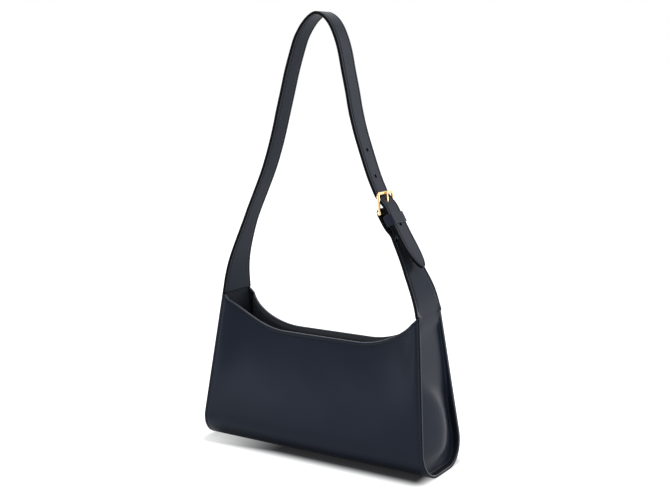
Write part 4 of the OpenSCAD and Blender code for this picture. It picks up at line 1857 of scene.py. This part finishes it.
@dataclass
class Strap:
    """The strap and its folded base, with their stitching and painted edges.

    A slot lets the tongue through a ply between two shares of the buckle's length.
    """

    dresser: Dresser
    size: BagSizes
    shape: BagShape
    course: StrapCourse
    stitched: Stitched = Stitched(inset=2.7 * MM, groove=0.3 * MM, seam_half=0.9 * MM)
    thread: Thread = Thread(length=2.5 * MM, pitch=3.2 * MM, radius=0.24 * MM)
    outer_slot: tuple[float, float] = (0.38, 0.66)
    inner_slot: tuple[float, float] = (0.22, 0.50)
    first_stitch: float = 5 * MM
    first_seam: float = 3 * MM
    fold_run: float = 24 * MM
    paint_proud: float = 0.3 * MM
    paint_inset: float = 0.14 * MM
    paint_sunk: float = 0.02 * MM
    tuck: float = 1.6 * MM
    tuck_run: float = 5 * MM
    tuck_length: float = 11 * MM
    back_tuck: float = 1.5 * MM
    ply_lead: float = 0.8 * MM
    skive: float = 14 * MM
    root_twist: float = math.radians(2.2)
    mid_twist: float = math.radians(7.0)
    twist_rise: float = 26 * MM
    untwist_z: float = 180 * MM
    untwist_run: float = 30 * MM
    cloth_low: float = 8 * MM
    cloth_gap: float = 0.3 * MM
    cloth_share: float = 0.9

    def left(self) -> Ribbon:
        """Lays out the strap.

        Returns:
            Its ribbon, from the left root to the tail.
        """
        path = self.course.strap_path()
        half = np.where(path[:, 0] < 0, self.course.root_half(path[:, 1]), self.size.strap_width / 2)
        return Ribbon(path, End.LEFT, half, np.zeros(len(path)), self.size.height, pointed=True)

    def right(self) -> Ribbon:
        """Lays out the strap's base.

        Returns:
            Its ribbon, from the right root, round the hinge bar and back.
        """
        path = self.course.base_path()
        z = path[:, 1]
        rise = smooth_step((z - self.size.height) / self.twist_rise)
        fade = 1 - smooth_step((z - self.untwist_z) / self.untwist_run)
        twist = (self.root_twist + (self.mid_twist - self.root_twist) * rise) * fade
        return Ribbon(path, End.RIGHT, self.course.root_half(z), twist, self.size.height, skived=self.skive)

    def tucked(self, places: Points) -> Points:
        """How far the edges draw in below the roots, where they go behind the bag's corners."""
        return self.tuck * (1 - smooth_step((places + self.tuck_run) / self.tuck_run))

    @property
    def heights(self) -> tuple[float, float]:
        """Heights between which the roots bend."""
        return self.size.height, self.size.height + self.size.flex

    def build(self) -> None:
        """Makes the pieces and seats them."""
        left, right = self.left(), self.right()
        panels = [EndLeather(self.size, self.shape, ribbon, self.stitched) for ribbon in (left, right)]
        for panel, name, node in zip(panels, ("left_end_and_strap", "right_end_and_base"),
                                     ("strap_outer_ply", "buckle_base_outer_ply")):
            end = panel.end.name.lower()
            piece = self.dresser.make(name, panel.pattern(), ("leather", "edge_paint", "flesh", "seam"))
            self.pierce(piece, panel.end, self.outer_slot)
            self.dresser.bend(piece, self.heights, f"{end}_gusset", f"{end}_strap_root", node)
            self.dresser.seat(f"{end}_end_cloth", self.end_cloth(panel), ("twill",), "lining", "bag",
                              f"{end}_end_lining")
        for panel, name, node in zip(panels, ("strap_inner_leather", "base_inner_leather"),
                                     ("strap_inner_ply", "buckle_base_inner_ply")):
            piece = self.dresser.make(name, self.inner_ply(panel), ("inner_leather", "edge_paint", "seam"))
            self.pierce(piece, panel.end, self.inner_slot)
            self.dresser.bend(piece, self.heights, node)
        self.sew(left, right)
        self.paint(left, right)

    def end_cloth(self, panel: EndLeather) -> Pattern:
        """Cuts the lining of an end.

        Args:
            panel: The end's leather.

        Returns:
            The lining's pattern.
        """
        half, z = panel.rows()
        keep = (z > self.cloth_low) & (z < self.size.mouth_z)
        half, z = half[keep] - self.size.lining_off, z[keep]
        share = np.linspace(-1, 1, 15)[None, :]
        deep = panel.depth(share * self.cloth_share, z[:, None]) + self.size.leather + self.cloth_gap
        x = panel.end * (self.shape.end_at(z)[:, None] - deep)
        outer = np.stack(np.broadcast_arrays(x, half[:, None] * share, z[:, None]), -1)
        return Pattern().slab(outer, outer - np.array([panel.end * self.size.lining, 0.0, 0.0]))

    def inner_ply(self, panel: EndLeather) -> Pattern:
        """Cuts the ply on the inside of the strap or of its base.

        Args:
            panel: The end's leather, which carries the outer ply.

        Returns:
            The ply's pattern.
        """
        r, s = panel.ribbon, self.size
        places = np.concatenate([np.linspace(-self.ply_lead, 0, 3), panel.places()])
        y = panel.strap_across(places, self.tucked(places))
        distance = r.edge_distance(places[:, None], y)
        start = self.stitched.sink(places + self.ply_lead)[:, None] + 0 * y
        sink = np.maximum(self.stitched.sink(distance), start)
        face = r.point(places[:, None], y, -s.strap_thickness / 2 + sink)
        back = r.point(places[:, None], y, -s.ply_gap / 2)
        seams = self.stitched.seam(distance) & (places[:, None] > self.first_seam)
        return Pattern().slab(face, back, 1, 0, seams, 2)

    def pierce(self, piece: bpy.types.Object, end: End, slot: tuple[float, float]) -> None:
        """Cuts the holes of the strap, or the gap in the fold for the tongue.

        Args:
            piece: The ply.
            end: LEFT for the strap, RIGHT for its base.
            slot: Shares of the buckle's length between which the tongue passes the strap's ply.
        """
        s, c = self.size, self.course
        cutter = Pattern()
        if end == End.LEFT:
            centre = c.by_buckle(sum(slot) / 2 * s.buckle_length, c.crossing(0.6))
            reach = max(0.0, (slot[1] - slot[0]) * s.buckle_length - s.hole)
            turn = np.linspace(0, 2 * math.pi, 40, endpoint=False)
            along = np.where(np.cos(turn) > 0, reach / 2, -reach / 2) + s.hole / 2 * np.cos(turn)
            self.prong(cutter, centre, along, s.hole / 2 * np.sin(turn), 2.5 * s.strap_thickness)
            for centre, normal in self.holes():
                self.bore(cutter, centre, normal)
        else:
            width = s.tongue_width + 2 * c.running_gap
            along = np.array([-c.keeper_gap, 2 * c.tail_n, 2 * c.tail_n, -c.keeper_gap])
            across = np.array([-width, -width, width, width]) / 2
            self.prong(cutter, c.hinge, along, across, 2 * c.tail_n)
        self.dresser.cut(piece, cutter)

    def prong(self, cutter: Pattern, centre: Points, along: Points, across: Points, depth: float) -> None:
        """Adds a prism square to the buckle to a cutter.

        Args:
            cutter: The cutter.
            centre: The prism's middle, as x and z.
            along: Its outline's distances along the strap.
            across: Its outline's distances across the strap.
            depth: How far it reaches to either side.
        """
        c = self.course
        sine, cosine = math.sin(c.strap_tilt), math.cos(c.strap_tilt)
        cutter.tube(np.array([
            np.stack([centre[0] - along * sine + out * cosine, across,
                      centre[1] + along * cosine + out * sine], -1) for out in (-depth, depth)]))

    def holes(self) -> list[tuple[Points, Points]]:
        """The round holes, at steps along the strap from the tongue.

        Returns:
            Each hole's place and its direction.
        """
        s, c = self.size, self.course
        ribbon = self.left()
        level = c.by_buckle(0.55 * s.buckle_length, c.crossing(0.45))[1]
        down = (ribbon.path[:, 0] > 0) & (ribbon.path[:, 1] < level)
        prong = ribbon.along[np.argmax(down)]
        places, _, _, normals = ribbon.frame_at(prong + s.hole_pitch * np.array([-2, -1, 1]))
        return list(zip(places, normals))

    def bore(self, cutter: Pattern, centre: Points, normal: Points) -> None:
        """Adds a round bore square to the strap to a cutter.

        Args:
            cutter: The cutter.
            centre: The hole's place.
            normal: The hole's direction.
        """
        s = self.size
        turn = np.linspace(0, 2 * math.pi, 28, endpoint=False)
        across = np.array([0.0, 1.0, 0.0])
        ring = centre + s.hole / 2 * (np.cos(turn)[:, None] * across
                                      + np.sin(turn)[:, None] * np.cross(normal, across))
        reach = normal * 2 * s.strap_thickness
        cutter.tube(np.array([ring - reach, ring + reach]))

    def sew(self, left: Ribbon, right: Ribbon) -> None:
        """Makes the stitches of the strap and of its base.

        Args:
            left: The strap's ribbon.
            right: The base's ribbon.
        """
        t, inset = self.size.strap_thickness, self.stitched.inset
        sunk = self.stitched.bed
        long, near = (self.first_stitch, None), (self.first_stitch, self.straight_start(right))
        fold = (right.length - self.fold_run, None)
        for ribbon, name, sign, runs in ((left, "strap_outer", 1, [long]), (left, "strap_inner", -1, [long]),
                                         (right, "base_outer", 1, [near, fold]),
                                         (right, "base_inner", -1, [near])):
            stitches = Pattern()
            for start, stop in runs:
                places, y = ribbon.outline(start, inset, stop)
                course = ribbon.point(places, y, sign * (t / 2 - sunk))
                up = ribbon.point(places, y, sign * t) - course
                self.thread.sew(stitches, course, up / np.linalg.norm(up, axis=1, keepdims=True))
            self.dresser.bend(self.dresser.make(f"{name}_stitches", stitches, ("thread",)), self.heights)

    def straight_start(self, base: Ribbon) -> float:
        """Length along the base up to which it lies alone, below the strap's straight part.

        Args:
            base: The base's ribbon.

        Returns:
            The length.
        """
        start = self.course.by_buckle(-self.course.straight_end, self.course.base_n)
        rising = base.path[:len(base.path) // 2]
        return float(base.along[np.argmin(np.linalg.norm(rising - start, axis=1))])

    def paint(self, left: Ribbon, right: Ribbon) -> None:
        """Makes the painted edges of the strap and of its base.

        Args:
            left: The strap's ribbon.
            right: The base's ribbon.
        """
        t = self.size.strap_thickness / 2 - self.paint_inset
        for ribbon, name in ((left, "strap_edge_paint"), (right, "base_edge_paint")):
            places, y = ribbon.outline(-self.tuck_length, self.paint_sunk)
            places = np.where((y > 0) & (places < 0), places * self.back_tuck / self.tuck_length, places)
            y = y - np.sign(y) * self.tucked(places)
            low, high = ribbon.point(places, y, -t), ribbon.point(places, y, t)
            out = -ribbon.end * np.cross(np.gradient((low + high) / 2, axis=0), high - low)
            out /= np.linalg.norm(out, axis=1, keepdims=True)
            paint = Pattern()
            bead(paint, low, high, out, self.paint_proud)
            self.dresser.bend(self.dresser.make(name, paint, ("edge_paint",)), self.heights)


@dataclass
class Buckle:
    """Polished frame, hinge bar and tongue, and the leather keeper below them."""

    dresser: Dresser
    size: BagSizes
    course: StrapCourse
    eye: float = 0.35 * MM
    bore_gap: float = 0.08 * MM
    tongue_thickness: float = 1.6 * MM
    tongue_edge: float = 0.2 * MM
    shank_root: float = 1.7 * MM
    bar_short: float = 0.6 * MM
    keeper_edge: float = 0.45 * MM
    paint_half: float = 0.5 * MM
    paint_round: float = 0.18 * MM
    paint_sunk: float = 0.05 * MM
    sides: int = 20

    @property
    def rail_y(self) -> float:
        """Distance of the side rails' middle lines from the strap's middle."""
        return (self.size.buckle_width - self.size.rail_width) / 2

    def place(self, points: Points, tilt: float) -> Points:
        """Moves points from the hinge bar's own frame to the bag's.

        Args:
            points: Points with x out from the strap, y along the bar and z to the front bar.
            tilt: Angle by which z leans back from upright.

        Returns:
            The points in the bag's frame.
        """
        x, z = self.course.hinge
        turn = Matrix.Rotation(-tilt, 3, "Y")
        return np.asarray(points) @ np.array(turn).T + np.array([x, 0.0, z])

    @property
    def frame_lean(self) -> float:
        """Angle by which the frame leans back."""
        return self.course.strap_tilt - self.course.frame_tilt

    def squared(self, power: float) -> tuple[Points, Points]:
        """Section between a circle and a square.

        Args:
            power: 1 for a circle, and less for a squarer section.

        Returns:
            The two coordinates of its points, from -1 to 1.
        """
        angle = 2 * math.pi * np.arange(self.sides) / self.sides
        c, n = np.cos(angle), np.sin(angle)
        return np.sign(c) * np.abs(c) ** power, np.sign(n) * np.abs(n) ** power

    def frame_pattern(self) -> Pattern:
        """Shapes the frame, a rounded rail from one eye over the front bar to the other.

        Returns:
            The frame's pattern.
        """
        s = self.size
        r = s.rail_width
        turn = np.linspace(0, math.pi / 2, 9)[1:-1]
        up = np.linspace(0, s.buckle_length - r, 8)
        bar = np.linspace(-(self.rail_y - r), self.rail_y - r, 12)
        line = np.array(
            [(-self.rail_y, z) for z in up]
            + [(-self.rail_y + r - r * math.cos(a), s.buckle_length - r + r * math.sin(a)) for a in turn]
            + [(y, s.buckle_length) for y in bar]
            + [(self.rail_y - r + r * math.sin(a), s.buckle_length - r + r * math.cos(a)) for a in turn]
            + [(self.rail_y, z) for z in up[::-1]])
        way = np.gradient(line, axis=0)
        way /= np.linalg.norm(way, axis=1, keepdims=True)
        side = np.stack([way[:, 1], -way[:, 0]], -1)
        flat, thick = self.squared(0.75)
        rings = np.zeros((len(line), self.sides, 3))
        rings[..., 0] = thick * s.rail_thickness / 2
        rings[..., 1:] = line[:, None] + side[:, None] * (flat * s.rail_width / 2)[:, None]
        pattern = Pattern().tube(self.place(rings, self.frame_lean))
        for y in (-self.rail_y, self.rail_y):
            pattern.tube(self.turned(y, s.rail_width, s.bar / 2 + self.eye))
        return pattern

    def turned(self, y: float, length: float, radius: float) -> Points:
        """A short turned piece along the bar, with rounded rims.

        Args:
            y: Its middle's place along the bar.
            length: Its length.
            radius: Its radius.

        Returns:
            Rings of points in the bag's frame.
        """
        edge = min(0.5 * MM, radius / 3)
        profile = [(-length / 2, radius - edge), (-length / 2 + 0.3 * edge, radius - 0.3 * edge),
                   (-length / 2 + edge, radius), (length / 2 - edge, radius),
                   (length / 2 - 0.3 * edge, radius - 0.3 * edge), (length / 2, radius - edge)]
        angle = 2 * math.pi * np.arange(32) / 32
        rings = [np.stack([r * np.cos(angle), 0 * angle + y + at, r * np.sin(angle)], -1)
                 for at, r in profile]
        return self.place(np.array(rings), self.frame_lean)

    def tongue_pattern(self) -> Pattern:
        """Shapes the tongue, an eye round the hinge bar and a tapered shank over the front bar.

        Returns:
            The tongue's pattern.
        """
        s, edge = self.size, self.tongue_edge
        outer, inner = s.bar / 2 + self.eye, s.bar / 2 + self.bore_gap
        rim = 1 - 2 * edge / s.tongue_width
        section = [(-1, inner), (-1, outer - edge), (-rim, outer),
                   (rim, outer), (1, outer - edge), (1, inner)]
        rings = np.array([[[r * math.cos(a), w * s.tongue_width / 2, r * math.sin(a)] for w, r in section]
                          for a in 2 * math.pi * np.arange(40) / 40])
        pattern = Pattern().tube(self.place(rings, self.frame_lean), around=True)
        root, bar, tip = self.shank_root, s.buckle_length - s.rail_width, s.buckle_length + s.rail_width / 2
        over = s.rail_thickness / 2 + s.bar * 0.05
        z = np.array([root, 4 * MM, 8 * MM, 12 * MM, 15 * MM, 17.2 * MM, tip - 0.9 * MM,
                      tip - 0.45 * MM, tip - 0.12 * MM, tip])
        x = np.interp(z, [root, bar, tip], [0.95 * MM, over + 0.78 * MM, over + 0.8 * MM])
        x[-3:] -= np.array([0.02, 0.08, 0.16]) * MM
        thick = np.interp(z, [root, bar, tip], [2.9 * MM, self.tongue_thickness, self.tongue_thickness])
        wide = np.interp(z, [root, tip], [s.tongue_width, s.tongue_width * 2 / 3])
        shrink = np.ones(len(z))
        shrink[-3:] = (0.88, 0.6, 0.25)
        c, n = self.squared(0.7)
        shank = np.stack([x[:, None] + (thick * shrink)[:, None] / 2 * n,
                          (wide * shrink)[:, None] / 2 * c, z[:, None] + 0 * c], -1)
        return pattern.tube(self.place(shank, self.frame_lean))

    def keeper_section(self) -> tuple[Points, Points]:
        """Section of the keeper's wall round the strap.

        Returns:
            Points of its middle line, as distances out from the hinge bar and along it, and the
            directions out of the wall.
        """
        s, c = self.size, self.course
        front = c.tail_n + s.strap_thickness / 2 + c.running_gap + s.leather / 2
        half = s.strap_width / 2 + c.running_gap + s.leather / 2
        r = 1.5 * s.leather
        line, out = [], []
        corners = ((front - r, half - r), (r, half - r), (r, -half + r), (front - r, -half + r))
        for quarter, corner in enumerate(corners):
            for a in np.linspace(quarter, quarter + 1, 9) * math.pi / 2:
                out.append((math.cos(a), math.sin(a)))
                line.append(np.array(corner) + r * np.array(out[-1]))
        return self.filled(np.array(line), np.array(out))

    @staticmethod
    def filled(line: Points, out: Points) -> tuple[Points, Points]:
        """Adds points on a closed line's long stretches.

        Args:
            line: The line's points.
            out: A direction at each point.

        Returns:
            Both with the points between them.
        """
        rows = np.concatenate([line, out], 1)
        filled = []
        for a, b in zip(rows, np.roll(rows, -1, axis=0)):
            steps = max(1, int(np.linalg.norm((b - a)[:2]) / (1.2 * MM)))
            filled += [a + (b - a) * k / steps for k in range(steps)]
        return np.array(filled)[:, :2], np.array(filled)[:, 2:]

    def keeper_rings(self, profile: Sequence[tuple[float, float]]) -> Points:
        """Rings round the keeper's wall.

        Args:
            profile: Places along the strap, and distances out of the wall's middle line.

        Returns:
            Rings of points in the bag's frame.
        """
        line, out = self.keeper_section()
        rings = [[[*(place + way * height), along] for along, height in profile]
                 for place, way in zip(line, out)]
        return self.place(np.array(rings), self.course.strap_tilt)

    def build(self) -> None:
        """Makes the fittings and the keeper, and seats them."""
        s, c = self.size, self.course
        bar = Pattern().tube(self.turned(0.0, s.buckle_width - self.bar_short, s.bar / 2))
        for name, pattern, body, node in (("buckle_rail", self.frame_pattern(), "buckle", "buckle_frame"),
                                          ("buckle_bar", bar, "buckle", "hinge_bar"),
                                          ("buckle_tongue", self.tongue_pattern(), "tongue", "tongue")):
            self.dresser.seat(name, pattern, ("plate",), "gold_metal", body, node)
        low, high, half, edge = -c.keeper_end, -c.keeper_gap, s.leather / 2, self.keeper_edge
        steps = ((0.0, edge), (0.25 * edge, 0.3 * edge), (edge, 0.0), (edge * 2.5, 0.0))
        profile = ([(low + a, half - b) for a, b in steps]
                   + [(high - a, half - b) for a, b in steps[::-1]]
                   + [(high - a, -half + b) for a, b in steps]
                   + [(low + a, -half + b) for a, b in steps[::-1]])
        keeper = Pattern().tube(self.keeper_rings(profile), around=True)
        self.dresser.seat("keeper_leather", keeper, ("leather",), "leather", "keeper", "keeper_loop")
        paint = Pattern()
        for place, way in ((low, -1), (high, 1)):
            angles = np.linspace(0, 2 * math.pi, 12, endpoint=False)
            along = place + way * (self.paint_round * np.cos(angles) - self.paint_sunk)
            profile = list(zip(along, self.paint_half * np.sin(angles)))
            paint.tube(self.keeper_rings(profile), around=True)
        # The keeper's painted edges take the lighter lip paint, a painted highlight.
        self.dresser.seat("keeper_paint", paint, ("lip_paint_painted_highlight",), "leather", "keeper")


@dataclass(frozen=True)
class Lamp:
    """A soft box, its power in watts."""

    name: str
    place: tuple[float, float, float]
    target: tuple[float, float, float]
    width: float
    height: float
    power: float

    def build(self) -> None:
        """Adds the lamp to the scene."""
        data = bpy.data.lights.new(self.name, "AREA")
        data.shape = "RECTANGLE"
        data.size, data.size_y = self.width, self.height
        data.energy = self.power
        lamp = bpy.data.objects.new(self.name, data)
        bpy.context.scene.collection.objects.link(lamp)
        lamp.location = self.place
        way = Vector(self.target) - Vector(self.place)
        lamp.rotation_euler = way.to_track_quat("-Z", "Y").to_euler()


@dataclass
class Studio:
    """Camera, lamps, floor and white surroundings."""

    dresser: Dresser
    azimuth: float = math.radians(32.434)
    elevation: float = math.radians(9.436)
    roll: float = math.radians(-0.304)
    distance: float = 1031.61 * MM
    target_z: float = 195.077 * MM
    target_right: float = 7.424 * MM
    focal_pixels: float = 1096.358
    picture_width: float = 670.0
    sensor: float = 36.0
    floor_half: float = 6.0
    ambient: float = 0.5
    lamps: tuple[Lamp, ...] = (
        Lamp("overhead", (0.0, 0.6, 2.2), (0.0, 0.0, 0.15), 1.2, 1.2, 14.0),
        Lamp("right", (1.3, -0.8, 2.4), (0.0, 0.0, 0.15), 0.9, 1.1, 12.0),
        Lamp("behind", (1.0, 2.61, 0.2), (0.0, 0.0, 0.05), 0.5, 0.36, 5.5),
        Lamp("behind_high", (1.3, 2.1, 1.0), (0.0, 0.0, 0.2), 1.0, 0.9, 3.5),
        Lamp("left", (-1.75, -2.0, 0.15), (0.0, 0.0, 0.15), 0.9, 0.9, 11.0))

    def camera(self) -> None:
        """Places the camera where the photograph was taken from."""
        sa, ca = math.sin(self.azimuth), math.cos(self.azimuth)
        se, ce = math.sin(self.elevation), math.cos(self.elevation)
        back = Vector((sa * ce, -ca * ce, se))
        right = Vector((ca, sa, 0.0))
        up = back.cross(right)
        target = Vector((0, 0, self.target_z)) + right * self.target_right
        across = right * math.cos(self.roll) + up * math.sin(self.roll)
        above = up * math.cos(self.roll) - right * math.sin(self.roll)
        data = bpy.data.cameras.new("camera")
        data.sensor_width = self.sensor
        data.lens = self.focal_pixels / self.picture_width * self.sensor
        data.clip_start, data.clip_end = 0.05, 50.0
        camera = bpy.data.objects.new("camera", data)
        bpy.context.scene.collection.objects.link(camera)
        turn = Matrix((across, above, back)).transposed().to_4x4()
        camera.matrix_world = Matrix.Translation(target + back * self.distance) @ turn
        bpy.context.scene.camera = camera

    def surroundings(self) -> None:
        """Lays the floor and sets the world, which is plain white to the camera and weaker as a light."""
        h = self.floor_half
        floor = Pattern()
        floor.add(np.array([[-h, -h, 0.0], [h, -h, 0.0], [h, h, 0.0], [-h, h, 0.0]]), [(0, 1, 2, 3)])
        # The floor's material carries a painted shadow round the bag's foot.
        sheet = self.dresser.make("floor", floor, ("white_paper_with_painted_shadow",), flat=True)
        sheet.location.z = -0.05 * MM
        bpy.context.scene.world = bpy.data.worlds.new("world")
        b = Bench(bpy.context.scene.world)
        ambient, seen = (b.node("ShaderNodeBackground", {}, {"Color": colour, "Strength": strength})
                         for colour, strength in (((0.96, 0.98, 1.0, 1.0), self.ambient),
                                                  ((1.0, 1.0, 1.0, 1.0), 1.0)))
        camera, glossy, through = b.rays()
        mask = camera.larger(glossy).larger(through)
        b.join(b.node("ShaderNodeMixShader", {}, {0: mask, 1: ambient, 2: seen}),
               b.tree.nodes["World Output"].inputs[0])
        bpy.context.scene.view_settings.view_transform = "Standard"

    def build(self) -> None:
        """Sets up the studio."""
        self.camera()
        self.surroundings()
        for lamp in self.lamps:
            lamp.build()
        log.info("studio set")


def finishes() -> dict[str, bpy.types.Material]:
    """Makes every finish.

    Returns:
        The materials by name.
    """
    made = (Leather("leather", srgb(34, 39, 51)),
            Leather("inner_leather", srgb(22, 31, 43), roughness=0.4, specular=0.1),
            # Darker leather of the stitch grooves, partly the pressed groove's own dark and partly painted
            # shade in the groove; it is also the painted shade on the ends' turned-out edges low down.
            Leather("seam", srgb(19, 22, 28), roughness=0.5, specular=0.14),
            Leather("flesh", srgb(40, 43, 50), roughness=0.7, grain=0.03 * MM),
            Leather("facing", srgb(96, 98, 105), roughness=0.6),
            EdgePaint(),
            # Glossy paint of the rims' lip and the keeper's edges, painted lighter than the leather as a
            # painted highlight.
            EdgePaint("lip_paint_painted_highlight", srgb(62, 67, 78), 0.32, 0.5),
            EdgePaint("mouth_paint", srgb(40, 46, 58), 0.32, 0.4),
            Waxed(), Plate(), Cloth(), Board(), PaperWithPaintedShadow())
    return {finish.name: finish.make() for finish in made}


def main() -> None:
    """Builds the bag's looks and the studio."""
    logging.basicConfig(level=logging.INFO, format="%(message)s")
    size = BagSizes()
    shape = BagShape(size)
    course = StrapCourse(size)
    dresser = Dresser(finishes())
    Studio(dresser).build()
    Body(dresser, size, shape).build()
    Inside(dresser, size, shape).build()
    Strap(dresser, size, shape, course).build()
    Buckle(dresser, size, course).build()


if __name__ == "__main__":
    main()
